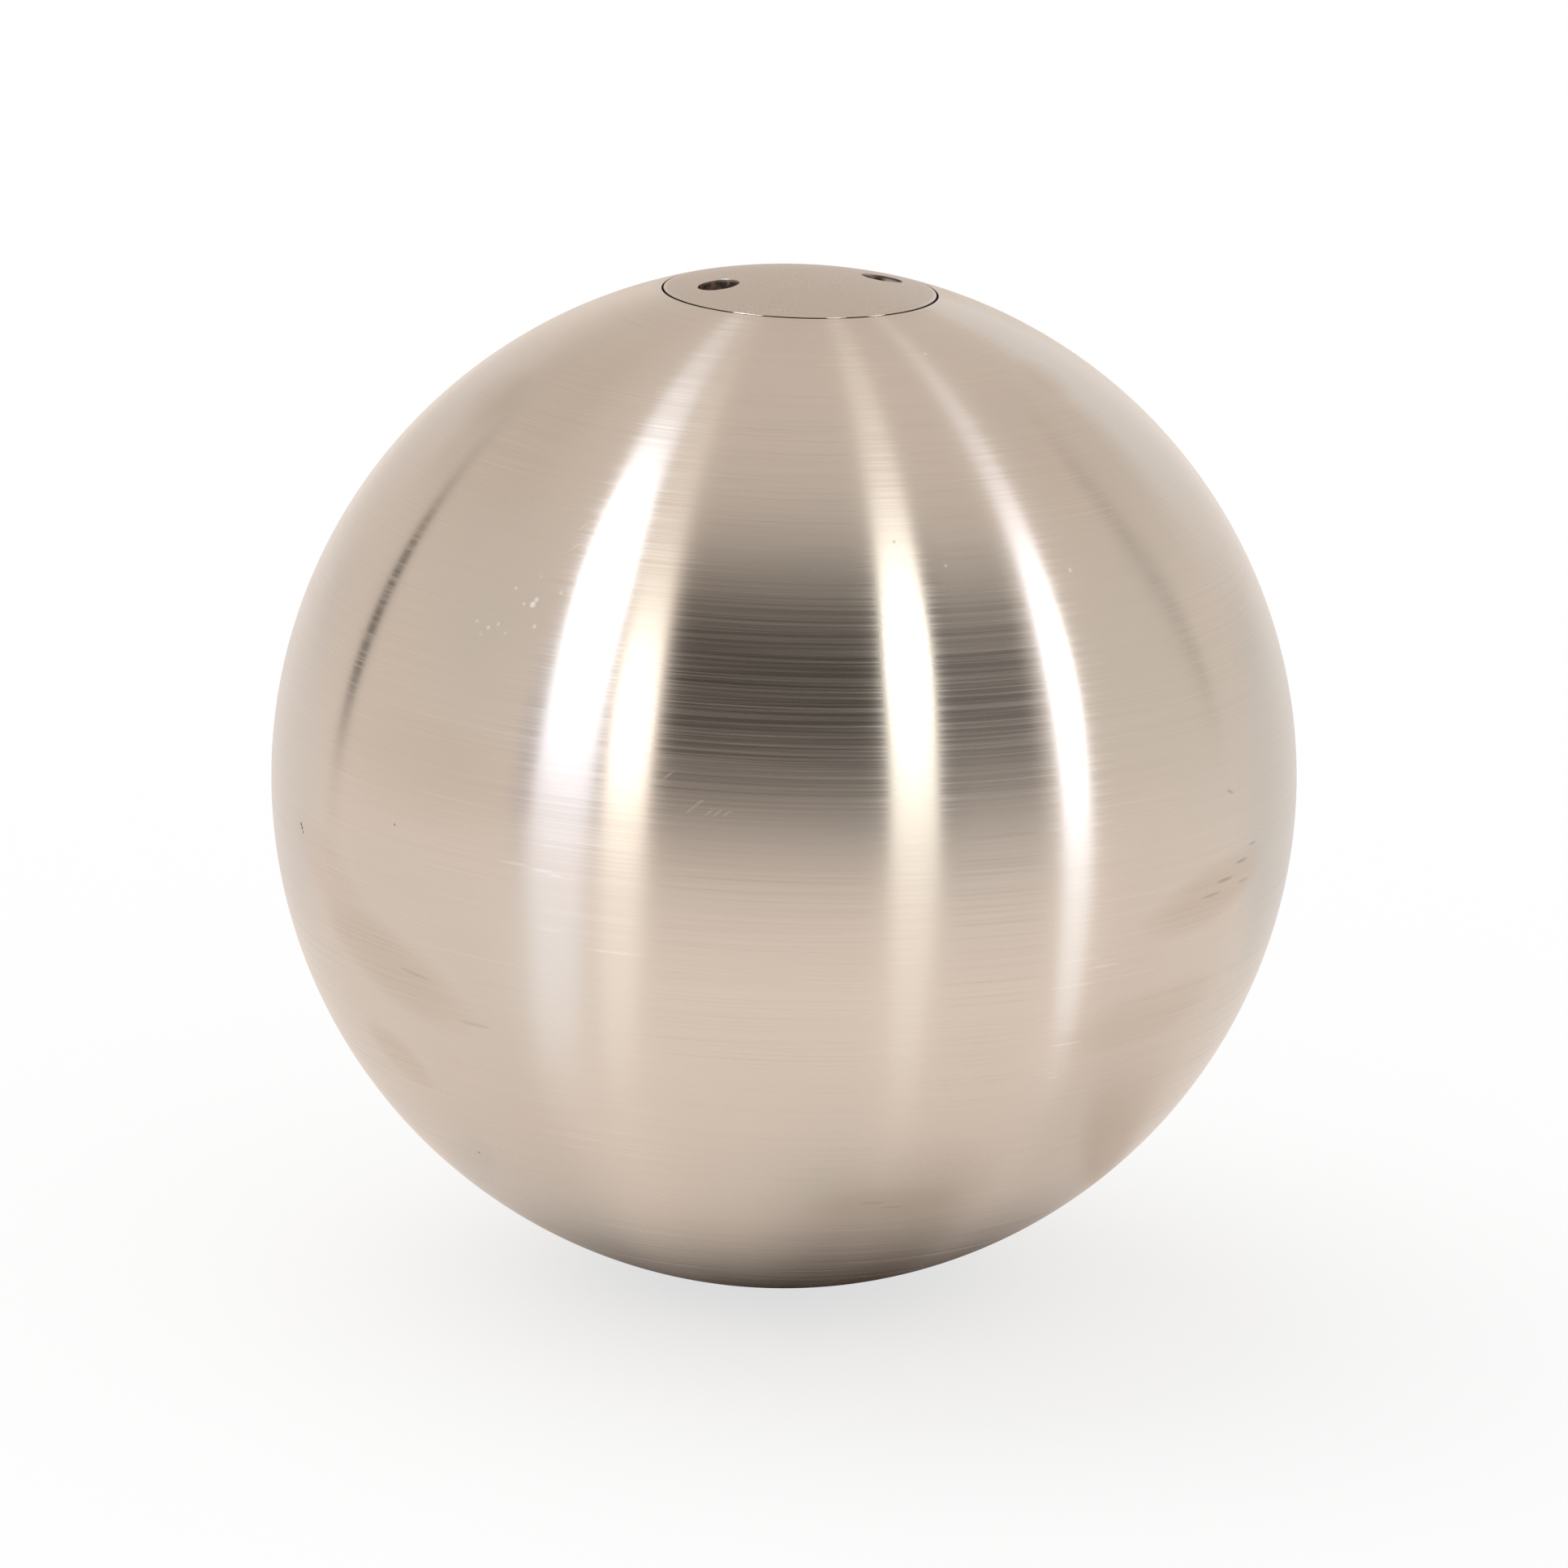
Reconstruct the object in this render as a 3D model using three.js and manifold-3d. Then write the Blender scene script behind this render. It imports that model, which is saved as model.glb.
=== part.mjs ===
// A men's competition shot: a turned stainless ball in two welded halves, weighted inside with lead shot set in
// resin. A screw plug at the top closes the well that holds the loose pellets of the calibrated weight.
// Millimetres, +Z up through the plug, origin at the centre of the ball.
import * as THREE from 'three';
import { mergeVertices } from 'three/addons/utils/BufferGeometryUtils.js';
import Module from 'manifold-3d';

// The ball and its wall
const BALL_DIAMETER = 125;
const WALL = 11.5;
const EDGE_BREAK = 0.2; // small chamfer on the plug's rim and on the edge of its seat

// The screw plug
const HEAD_DIAMETER = 32.9;
const HEAD_EDGE_THICKNESS = 6;
const CROWN_RADIUS = 67; // the crown is a little flatter than the ball
const HEAD_CLEARANCE = 0.35; // round the head, the fine dark line in the ball's surface
const HEAD_OVERHANG = 3.6; // beyond the shank, all round
const SHANK_CLEARANCE = 0.35; // the shank is a plain cylinder in the place of the thread
const SHANK_CHAMFER = 1;
const LIFT = 12; // from seated to the last thread leaving the hole
const RELIEF_DEPTH = 0.65; // into the shank
const RELIEF_HEIGHT = 1.6;

// The pin spanner's two blind holes
const PIN_HOLE_DIAMETER = 5;
const PIN_HOLE_PITCH = 21;
const PIN_HOLE_DEPTH = 5.5;
const PIN_HOLE_CORNER = 0.3;
const PIN_LINE_ANGLE = 21; // degrees from +X, as the plug comes to rest when tight

// The captive sealing washer
const WASHER_THICKNESS = 1;
const WASHER_CLEARANCE = 0.35; // inside, to the relief groove
const WASHER_RIM_MARGIN = 0.9; // outside, to the seat's wall

// The threaded boss inside the upper half
const BOSS_WALL = 5.8;
const BOSS_RUNOUT = 1; // thread left below the seated plug
const MOUTH_CHAMFER = 0.8;

// The backing ring at the weld
const RING_THICKNESS = 3;
const RING_HEIGHT = 11.4;
const REBATE_DEPTH = 2; // into the wall of each half

// What lies inside
const FILL_GAP = 0.3; // between neighbours that are poured, packed or pressed together
const WELL_MARGIN = 0.6; // the pellets' well is narrower than the thread's hole, so that its former draws out
const PELLETS_ACROSS = 3; // the well's width, so that a ring of six goes round one in the middle
const PELLETS_IN_RING = 6;
const PELLET_LAYERS = 3;
const PAD_THICKNESS = 3.5;
const PAD_EDGE = 0.6;

// Facets, in degrees along an arc or in sides round an axis
const SURFACE_FACET = 6;
const INSIDE_FACET = 11.25;
const POLE_FACET = 3; // from the bottom pole to the first ring, a small level facet
const SEGMENTS = 360 / SURFACE_FACET;
const HOLE_SEGMENTS = 20;
const PAD_SEGMENTS = 36;
const CROWN_STEPS = 4;
const PELLET_DETAIL = 1;

// Sizes that follow from the ones above
const BALL_RADIUS = BALL_DIAMETER / 2;
const INNER_RADIUS = BALL_RADIUS - WALL;
const HEAD_RADIUS = HEAD_DIAMETER / 2;
const SEAT_RADIUS = HEAD_RADIUS + HEAD_CLEARANCE;
const SHANK_RADIUS = HEAD_RADIUS - HEAD_OVERHANG;
const THREAD_HOLE_RADIUS = SHANK_RADIUS + SHANK_CLEARANCE;
const RELIEF_RADIUS = SHANK_RADIUS - RELIEF_DEPTH;
const BOSS_RADIUS = THREAD_HOLE_RADIUS + BOSS_WALL;
const RIM_Z = heightOnSphere(BALL_RADIUS, HEAD_RADIUS);
const UNDERSIDE_Z = RIM_Z - HEAD_EDGE_THICKNESS;
const SEAT_Z = UNDERSIDE_Z - WASHER_THICKNESS;
const SHANK_END_Z = SEAT_Z - LIFT;
const BOSS_END_Z = SHANK_END_Z - BOSS_RUNOUT;
const REBATE_RADIUS = INNER_RADIUS + REBATE_DEPTH;
const REBATE_Z = RING_HEIGHT / 2 + FILL_GAP;
const RING_RADIUS = REBATE_RADIUS - FILL_GAP;
const CORE_RADIUS = INNER_RADIUS - FILL_GAP;
const WELL_RADIUS = THREAD_HOLE_RADIUS - WELL_MARGIN;
const PELLET_DIAMETER = (2 * WELL_RADIUS - (PELLETS_ACROSS + 1) * FILL_GAP) / PELLETS_ACROSS;
const PELLET_RADIUS = PELLET_DIAMETER / 2;
const PELLET_SPACING = PELLET_DIAMETER + FILL_GAP;
const PELLET_RING_RADIUS = WELL_RADIUS - FILL_GAP - PELLET_RADIUS;
const PAD_RADIUS = WELL_RADIUS - FILL_GAP;
const PAD_BOTTOM_Z = SHANK_END_Z - PAD_THICKNESS;
const COLUMN_HEIGHT = (PELLET_LAYERS - 1) * PELLET_SPACING + PELLET_DIAMETER;
const WELL_FLOOR_Z = PAD_BOTTOM_Z - FILL_GAP - COLUMN_HEIGHT - FILL_GAP;

function heightOnSphere(sphereRadius, radius) {
  return Math.sqrt(sphereRadius ** 2 - radius ** 2);
}

// Points of a circle round the origin, by their angle in degrees from the +Z axis, as [radius, height] pairs
function arc(radius, from, to, facet) {
  const steps = Math.ceil(Math.abs(to - from) / facet);
  const points = [];
  for (let i = 0; i <= steps; i += 1) {
    const angle = THREE.MathUtils.degToRad(from + ((to - from) * i) / steps);
    points.push([radius * Math.sin(angle), radius * Math.cos(angle)]);
  }
  return points;
}

// The angle in degrees from the +Z axis at which a sphere has the given radius about that axis
function angleAt(sphereRadius, radius) {
  return THREE.MathUtils.radToDeg(Math.asin(radius / sphereRadius));
}

// A body turned about +Z from [radius, height] pairs, listed up the outside and down the inside
function turned(profile, segments = SEGMENTS) {
  const points = profile.map(([radius, height]) => new THREE.Vector2(radius, height));
  return new THREE.LatheGeometry(points, segments).rotateX(Math.PI / 2);
}

// A turned body of four or more corners whose profile closes on itself away from the axis
function turnedRing(corners, segments = SEGMENTS) {
  return turned([...corners, corners[0]], segments);
}

const wasm = await Module();
wasm.setup();

// A solid for cutting: the shared corners are merged and the slivers at the axis are left out
function solidFrom(geometry) {
  const bare = geometry.clone();
  bare.deleteAttribute('normal');
  bare.deleteAttribute('uv');
  const merged = mergeVertices(bare);
  const triangles = [];
  for (let i = 0; i < merged.index.count; i += 3) {
    const [a, b, c] = [0, 1, 2].map((k) => merged.index.getX(i + k));
    if (a !== b && b !== c && c !== a) {
      triangles.push(a, b, c);
    }
  }
  const mesh = new wasm.Mesh({
    numProp: 3,
    vertProperties: new Float32Array(merged.attributes.position.array),
    triVerts: new Uint32Array(triangles),
  });
  return new wasm.Manifold(mesh);
}

function geometryFrom(solid) {
  const { vertProperties, triVerts } = solid.getMesh();
  const geometry = new THREE.BufferGeometry();
  geometry.setAttribute('position', new THREE.BufferAttribute(vertProperties, 3));
  geometry.setIndex(new THREE.BufferAttribute(triVerts, 1));
  geometry.computeVertexNormals();
  return geometry;
}

const brushedSteel = () => new THREE.MeshStandardMaterial({ color: 0xbfb2a3, roughness: 0.32, metalness: 1 });
const turnedSteel = () => new THREE.MeshStandardMaterial({ color: 0xb4aaa0, roughness: 0.4, metalness: 1 });
const mildSteel = () => new THREE.MeshStandardMaterial({ color: 0x8a8782, roughness: 0.55, metalness: 1 });
const nitrileRubber = () => new THREE.MeshStandardMaterial({ color: 0x1c1b1a, roughness: 0.8, metalness: 0 });
const resinBoundLead = () => new THREE.MeshStandardMaterial({ color: 0x5b5a59, roughness: 0.7, metalness: 0.3 });
const dullLead = () => new THREE.MeshStandardMaterial({ color: 0x6f7276, roughness: 0.6, metalness: 0.9 });
const woolFelt = () => new THREE.MeshStandardMaterial({ color: 0x7c766c, roughness: 1, metalness: 0 });

const shot = new THREE.Group();

function piece(name, geometry, material) {
  const mesh = new THREE.Mesh(geometry, material);
  mesh.name = name;
  shot.add(mesh);
  return mesh;
}

// Upper half: the ball's wall down to the weld, the counterbored seat, the threaded boss and half of the rebate
function upperShell() {
  const seatRimZ = heightOnSphere(BALL_RADIUS, SEAT_RADIUS + EDGE_BREAK);
  return turnedRing([
    [REBATE_RADIUS, 0],
    ...arc(BALL_RADIUS, 90, angleAt(BALL_RADIUS, SEAT_RADIUS + EDGE_BREAK), SURFACE_FACET),
    [SEAT_RADIUS, seatRimZ - EDGE_BREAK],
    [SEAT_RADIUS, SEAT_Z],
    [THREAD_HOLE_RADIUS + MOUTH_CHAMFER, SEAT_Z],
    [THREAD_HOLE_RADIUS, SEAT_Z - MOUTH_CHAMFER],
    [THREAD_HOLE_RADIUS, BOSS_END_Z],
    [BOSS_RADIUS, BOSS_END_Z],
    ...arc(INNER_RADIUS, angleAt(INNER_RADIUS, BOSS_RADIUS), rebateAngle(INNER_RADIUS), INSIDE_FACET),
    [REBATE_RADIUS, REBATE_Z],
  ]);
}

// The angle from +Z of the rebate's edge, or of the groove's edge on the filling
function rebateAngle(sphereRadius) {
  return THREE.MathUtils.radToDeg(Math.acos(REBATE_Z / sphereRadius));
}

// Lower half: a plain bowl that meets the upper half at the equator, with the other half of the rebate
function lowerShell() {
  return turned([
    [0, -BALL_RADIUS * Math.cos(THREE.MathUtils.degToRad(POLE_FACET))],
    ...arc(BALL_RADIUS, 180 - POLE_FACET, 90, SURFACE_FACET),
    [REBATE_RADIUS, 0],
    [REBATE_RADIUS, -REBATE_Z],
    ...arc(INNER_RADIUS, 180 - rebateAngle(INNER_RADIUS), 180, INSIDE_FACET),
  ]);
}

function backingRing() {
  const innerRadius = RING_RADIUS - RING_THICKNESS;
  const half = RING_HEIGHT / 2;
  return turnedRing([
    [innerRadius, -half],
    [RING_RADIUS, -half],
    [RING_RADIUS, half],
    [innerRadius, half],
  ]);
}

// The filling as it was poured: it fits the wall, the backing ring and the boss, and leaves the pellets' well
function ballastCore() {
  const grooveRadius = RING_RADIUS - RING_THICKNESS - FILL_GAP;
  const recessRadius = BOSS_RADIUS + FILL_GAP;
  const recessZ = BOSS_END_Z - FILL_GAP;
  const grooveAngle = rebateAngle(CORE_RADIUS);
  return turned([
    ...arc(CORE_RADIUS, 180, 180 - grooveAngle, INSIDE_FACET),
    [grooveRadius, -REBATE_Z],
    [grooveRadius, REBATE_Z],
    ...arc(CORE_RADIUS, grooveAngle, angleAt(CORE_RADIUS, recessRadius), INSIDE_FACET),
    [recessRadius, recessZ],
    [WELL_RADIUS, recessZ],
    [WELL_RADIUS, WELL_FLOOR_Z],
    [0, WELL_FLOOR_Z],
  ]);
}

function packingPad() {
  return turned([
    [0, PAD_BOTTOM_Z],
    [PAD_RADIUS - PAD_EDGE, PAD_BOTTOM_Z],
    [PAD_RADIUS, PAD_BOTTOM_Z + PAD_EDGE],
    [PAD_RADIUS, SHANK_END_Z - PAD_EDGE],
    [PAD_RADIUS - PAD_EDGE, SHANK_END_Z],
    [0, SHANK_END_Z],
  ], PAD_SEGMENTS);
}

function plugGasket() {
  const innerRadius = RELIEF_RADIUS + WASHER_CLEARANCE;
  const outerRadius = SEAT_RADIUS - WASHER_RIM_MARGIN;
  return turnedRing([
    [innerRadius, SEAT_Z],
    [outerRadius, SEAT_Z],
    [outerRadius, UNDERSIDE_Z],
    [innerRadius, UNDERSIDE_Z],
  ]);
}

// The crown's height above the rim at a radius from the axis
function crownZ(radius) {
  return RIM_Z + heightOnSphere(CROWN_RADIUS, radius) - heightOnSphere(CROWN_RADIUS, HEAD_RADIUS);
}

// One of the plug's blind holes, as the solid that the drill and the flat-bottoming cutter take away
function pinHole() {
  const radius = PIN_HOLE_DIAMETER / 2;
  const bottom = crownZ(PIN_HOLE_PITCH / 2) - PIN_HOLE_DEPTH;
  return turned([
    [0, bottom],
    [radius - PIN_HOLE_CORNER, bottom],
    [radius, bottom + PIN_HOLE_CORNER],
    [radius, BALL_RADIUS],
    [0, BALL_RADIUS],
  ], HOLE_SEGMENTS);
}

// The plug: crowned head, relief groove for the captive washer, shank, and the two pin holes across its centre
function screwPlug() {
  const crown = [];
  for (let i = 0; i <= CROWN_STEPS; i += 1) {
    const radius = (HEAD_RADIUS - EDGE_BREAK) * (1 - i / CROWN_STEPS);
    crown.push([radius, crownZ(radius)]);
  }
  const blank = turned([
    [0, SHANK_END_Z],
    [SHANK_RADIUS - SHANK_CHAMFER, SHANK_END_Z],
    [SHANK_RADIUS, SHANK_END_Z + SHANK_CHAMFER],
    [SHANK_RADIUS, UNDERSIDE_Z - RELIEF_HEIGHT],
    [RELIEF_RADIUS, UNDERSIDE_Z - RELIEF_HEIGHT],
    [RELIEF_RADIUS, UNDERSIDE_Z],
    [HEAD_RADIUS - EDGE_BREAK, UNDERSIDE_Z],
    [HEAD_RADIUS, UNDERSIDE_Z + EDGE_BREAK],
    [HEAD_RADIUS, crown[0][1] - EDGE_BREAK],
    ...crown,
  ]);
  let solid = solidFrom(blank);
  for (const side of [0, Math.PI]) {
    const angle = THREE.MathUtils.degToRad(PIN_LINE_ANGLE) + side;
    const reach = PIN_HOLE_PITCH / 2;
    const cutter = pinHole().translate(reach * Math.cos(angle), reach * Math.sin(angle), 0);
    solid = solid.subtract(solidFrom(cutter));
  }
  return geometryFrom(solid);
}

// The pellets: rings of six that nest in one another's gaps, and a column up the middle
function calibrationPellets() {
  const lowest = WELL_FLOOR_Z + FILL_GAP + PELLET_RADIUS;
  const halfTurn = Math.PI / PELLETS_IN_RING;
  const nestedChord = 2 * PELLET_RING_RADIUS * Math.sin(halfTurn / 2);
  const layerRise = Math.sqrt(PELLET_SPACING ** 2 - nestedChord ** 2);
  for (let layer = 0; layer < PELLET_LAYERS; layer += 1) {
    const middle = piece(`pellet_${layer + 1}_middle`, pellet(), dullLead());
    middle.position.set(0, 0, lowest + layer * PELLET_SPACING);
    for (let i = 0; i < PELLETS_IN_RING; i += 1) {
      const angle = (2 * i + layer) * halfTurn;
      const ringPellet = piece(`pellet_${layer + 1}_${i + 1}`, pellet(), dullLead());
      ringPellet.position.set(
        PELLET_RING_RADIUS * Math.cos(angle),
        PELLET_RING_RADIUS * Math.sin(angle),
        lowest + layer * layerRise,
      );
    }
  }
}

function pellet() {
  return new THREE.IcosahedronGeometry(PELLET_RADIUS, PELLET_DETAIL);
}

piece('upper_shell', upperShell(), brushedSteel());
piece('lower_shell', lowerShell(), brushedSteel());
piece('backing_ring', backingRing(), mildSteel());
piece('ballast_core', ballastCore(), resinBoundLead());
piece('packing_pad', packingPad(), woolFelt());
piece('plug_gasket', plugGasket(), nitrileRubber());
piece('screw_plug', screwPlug(), turnedSteel());
calibrationPellets();

export default shot;
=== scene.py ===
"""The looks of a competition shot: a brushed stainless ball, its screw plug and all that lies inside it."""

import math

import bmesh
import bpy
from bpy.props import FloatProperty, FloatVectorProperty, IntProperty, PointerProperty
from mathutils import Matrix, Vector, noise


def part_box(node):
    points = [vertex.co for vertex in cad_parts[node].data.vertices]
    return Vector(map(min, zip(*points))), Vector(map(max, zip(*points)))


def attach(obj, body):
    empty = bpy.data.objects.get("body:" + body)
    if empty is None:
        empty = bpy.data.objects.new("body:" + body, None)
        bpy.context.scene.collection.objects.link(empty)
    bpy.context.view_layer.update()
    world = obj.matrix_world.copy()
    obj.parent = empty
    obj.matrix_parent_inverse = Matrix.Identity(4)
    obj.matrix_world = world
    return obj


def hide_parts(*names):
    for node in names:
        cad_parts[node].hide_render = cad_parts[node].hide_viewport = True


bl_info = {
    "name": "Competition Shot",
    "version": (1, 0, 0),
    "blender": (4, 5, 0),
    "location": "3D View > Sidebar > Shot",
    "description": "Builds a stainless shot with its screw plug, washer, pad, pellets and filling",
    "category": "Add Mesh",
}

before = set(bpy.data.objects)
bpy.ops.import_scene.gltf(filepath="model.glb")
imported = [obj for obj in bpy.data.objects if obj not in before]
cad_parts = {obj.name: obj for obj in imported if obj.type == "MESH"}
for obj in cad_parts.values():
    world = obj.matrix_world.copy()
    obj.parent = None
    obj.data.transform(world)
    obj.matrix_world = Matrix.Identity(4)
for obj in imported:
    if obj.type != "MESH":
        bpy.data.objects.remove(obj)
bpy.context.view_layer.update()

MM = 0.001
FULL_TURN = 2 * math.pi

# Sizes read from the frame
BALL_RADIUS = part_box("lower_shell")[1].x
SEAT_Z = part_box("plug_gasket")[0].z
UNDERSIDE_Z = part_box("plug_gasket")[1].z
WASHER_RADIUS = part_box("plug_gasket")[1].x
SHANK_END_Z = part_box("screw_plug")[0].z
CROWN_TOP_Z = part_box("screw_plug")[1].z
HEAD_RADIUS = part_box("screw_plug")[1].x
CORE_RADIUS = -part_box("ballast_core")[0].z
RING_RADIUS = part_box("backing_ring")[1].x
RING_HALF_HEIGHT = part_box("backing_ring")[1].z
PAD_LOW, PAD_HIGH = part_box("packing_pad")
PELLETS = sorted(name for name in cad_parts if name.startswith("pellet_"))

# Steps of the turned and swept shapes, the angle from which an edge shows, and how close points are merged
SURFACE_STEPS = 160
INSIDE_STEPS = 40
CROWN_STEPS = 24
EDGE_STEPS = 5
CORNER_STEPS = 4
SMALL_SEGMENTS = 128
PIN_SEGMENTS = 64
THREAD_SEGMENTS = 96
PELLET_SUBDIVISIONS = 4
SHARP_ANGLE = math.radians(30)
MERGE_DISTANCE = 0.001 * MM

# Small forms that have no setting
SEAT_CORNER = 0.3 * MM
PIN_CORNER = 0.25 * MM
PIN_OVERRUN = 5 * MM
WASHER_ROUNDING = 0.12 * MM
WELL_LIP = 0.4 * MM
THREAD_SINK = 0.1 * MM
THREAD_CREST_SHARE = 0.25
THREAD_FLANK_ANGLE = math.radians(30)
THREAD_LEAD_IN = 2
DENTS_ACROSS_PELLET = 1.6
PELLET_SEED_STEP = 7.3
AXIS_RADIUS = 0.05 * MM

# Lines of the brushing and turning: how often they change round the axis, and along the meridian
HAIRS = (2.0, 560)
LINES = (0.9, 190)
BANDS = (0.5, 60)
PLUG_RINGS = (2.5, 500)
RING_LINES = (6, 300)

# Colours and strengths of the marks of use, of the painted shade in the crevices and of the painted light in
# a spanner hole
SMUDGE_TINT = (0.87, 0.81, 0.76, 1)
COOL_TINT = (0.97, 1.0, 1.01, 1)
# Painted shade: the near-black colour in the crevices round the plug and in its spanner holes
CREVICE_SHADE = (0.03, 0.02, 0.016, 1)
DARK_MARK = (0.06, 0.05, 0.045, 1)
BRIGHT_MARK = (1, 0.97, 0.94, 1)
HOLE_DUST = (0.4, 0.22, 0.17, 1)
# Painted light in one spanner hole
HOLE_PAINTED_LIGHT = (1, 0.86, 0.82, 1)
STROKE_STRENGTH = 0.16
SCRATCH_STRENGTH = 0.4
SEAT_SHADE_STRENGTH = 0.85
HOLE_DUST_AND_SHADE_STRENGTH = 0.85
RIM_SHADE_STRENGTH = 0.9
SPOT_CORE = 0.3
SMEAR_FADE = 1.8

# Where painted shade, dust and painted light lie on the closure, and where the head's edge is smoother. Each
# pair holds the radii, depths or places between which it comes or goes.
# Painted shade down the seat's wall, in the gap round the plug's head
SEAT_SHADE_TOP = (BALL_RADIUS - 0.04 * MM, BALL_RADIUS - 0.02 * MM)
SEAT_SHADE_END = (BALL_RADIUS - 1.6 * MM, BALL_RADIUS - 0.8 * MM)
HEAD_EDGE = (HEAD_RADIUS - 0.5 * MM, HEAD_RADIUS - 0.3 * MM)
HEAD_SIDE = (HEAD_RADIUS - 0.2 * MM, HEAD_RADIUS - 0.14 * MM)
HEAD_INSIDE = (HEAD_RADIUS - 2 * MM, HEAD_RADIUS - 1.5 * MM)
HEAD_ABOVE = (UNDERSIDE_Z + 1 * MM, UNDERSIDE_Z + 1.2 * MM)
HOLE_DUST_AND_SHADE_DEPTH = (0.12 * MM, 0.5 * MM)
# Painted light on one side of one spanner hole, near its mouth
HOLE_LIGHT_X = (9.6 * MM, 10.6 * MM)
HOLE_LIGHT_Y = (3.1 * MM, 4.1 * MM)
HOLE_LIGHT_END = (1.8 * MM, 2.6 * MM)
# The painted shade in the gap round the plug's head
RIM_SHADE_TOP = 0.012 * MM
RIM_GLINT_DROP = 0.11 * MM
RIM_SHADE_RAGS = 1.2 * MM
RIM_SHADE_END = (0.7 * MM, 1.9 * MM)

# Sockets of the colour mixing node
MIX_FIRST = 6
MIX_SECOND = 7
MIX_RESULT = 2

# The floor in the steel: the ball's own painted shadow, a dimmer sector of painted shadow beside it, and the
# plain part behind the ball
SHADOW_CENTRE = (4 * MM, 0, -BALL_RADIUS)
SHADOW_REACH = (15.5 * MM, 50 * MM)
DIM_SIDE = (math.radians(-8), math.radians(20))
DIM_END = (math.radians(36), math.radians(58))
DIM_REACH = (48 * MM, 62 * MM)
DIM_TINT = (0.72, 0.71, 0.7, 1)
BEHIND_WIDTH = (62 * MM, 95 * MM)
BEHIND_START = (35 * MM, 65 * MM)

# The lamps. Angles are in degrees.
LAMP_DISTANCE = 1.5
KEY_DIRECTION = (math.radians(-130), math.radians(58))
KEY_SPREAD = math.radians(60)
STREAK_LAMPS = (
    # name, azimuth, elevation, width, height, radiance, colour
    ("window_left", -60.4, 46.5, 10.5, 6, 14, (0.9, 0.95, 1.0)),
    ("lamp_left", -36.0, 23.7, 8, 4, 10, (1.0, 0.95, 0.86)),
    ("lamp_middle", 32.4, 38, 9.5, 5, 12, (1.0, 0.96, 0.9)),
    ("lamp_right", 71.6, 26, 5, 5, 14, (1.0, 1.0, 1.0)),
)

# Patches of the walls, placed where the ball shows them in the reference view, in degrees on the ball
WALL_PATCHES = (
    # left, right, lean, bottom, top, blur at the sides, blur at the ends, colour
    (-180, 180, 0, 72, 95, 1, 6, (0.81, 0.72, 0.64)),
    (-80, -40, 0, 40, 66, 8, 6, (0.76, 0.67, 0.59)),
    (40, 80, 0, 40, 62, 8, 6, (0.79, 0.7, 0.62)),
    (-95, -70, 0, 36, 60, 4, 6, (0.86, 0.77, 0.71)),
    (68, 95, 0, 34, 80, 5, 8, (0.93, 0.87, 0.83)),
    (-95, -70, 0, -40, 26, 5, 6, (0.74, 0.685, 0.655)),
    (70, 95, 0, -40, 26, 5, 6, (0.72, 0.67, 0.64)),
    (-15.2, 20, 0, 9.3, 37.5, 2.2, 3, (0.0, 0.0, 0.0)),
    (17.5, 31, 0, 11, 34.5, 2, 3, (0.09, 0.085, 0.085)),
    (-61.0, -59.0, 0, 6, 37, 0.3, 3, (0.05, 0.04, 0.03)),
    (63.6, 65.6, -0.28, 20, 48, 0.5, 4, (0.45, 0.4, 0.35)),
    (-31.5, -28, 0, -3, 20, 0.8, 5, (0.6, 0.58, 0.62)),
    (-29, -18, 0, -2, 19, 1, 4, (0.74, 0.71, 0.73)),
    (-29.2, -21.6, 0, 36, 68, 0.6, 5, (1.08, 1.02, 0.98)),
    (-20.6, -15.6, 0, 25, 62, 0.5, 5, (1.0, 0.91, 0.82)),
    (11.6, 18, 0, 34, 68, 0.6, 5, (1.03, 0.94, 0.86)),
    (32.2, 36.8, 0, 34, 66, 0.6, 5, (1.06, 0.99, 0.95)),
    (-28.8, -21.8, 0, 12, 47, 0.4, 6, (2.0, 2.1, 2.4)),
    (-20.2, -15.1, 0, 11, 29, 0.4, 6, (2.2, 2.12, 1.97)),
    (12.0, 17.5, 0, 9, 39, 0.4, 6, (2.1, 2.05, 1.9)),
    (32.6, 36.4, 0, -3, 39, 0.4, 6, (2.3, 2.3, 2.5)),
)

# Patches of painted light and shade on the floor, which only the steel shows, placed in the same way. Each is
# seen from its own meridian, at the first latitude.
FLOOR_PATCHES = (
    # latitude, (left, right, lean, bottom, top, blur at the sides, blur at the ends, colour)
    (-12, (-105, -63, 0, -18, 40, 6, 8, (0.92, 0.86, 0.82))),
    (-12, (63, 105, 0, -20, 40, 6, 8, (0.88, 0.83, 0.79))),
    (-34, (40, 64, 0, -100, -18, 7, 12, (0.84, 0.73, 0.64))),
    (-40, (-64, -35, 0, -100, -34, 6, 8, (0.93, 0.86, 0.8))),
    (-12, (-39, 44, 0, -50, 0, 4, 7, (1.115, 1.01, 0.925))),
    (-12, (-29.2, -21.6, 0, -20, 20, 2.2, 12, (1.25, 1.2, 1.19))),
    (-12, (-20.4, -14.8, 0, -22, 20, 1.8, 12, (1.27, 1.19, 1.1))),
    (-12, (12.0, 17.5, 0, -24, 20, 1.4, 12, (1.22, 1.14, 1.05))),
    (-12, (32.4, 36.4, 0, -16, 20, 1.2, 10, (1.38, 1.37, 1.36))),
)

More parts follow.
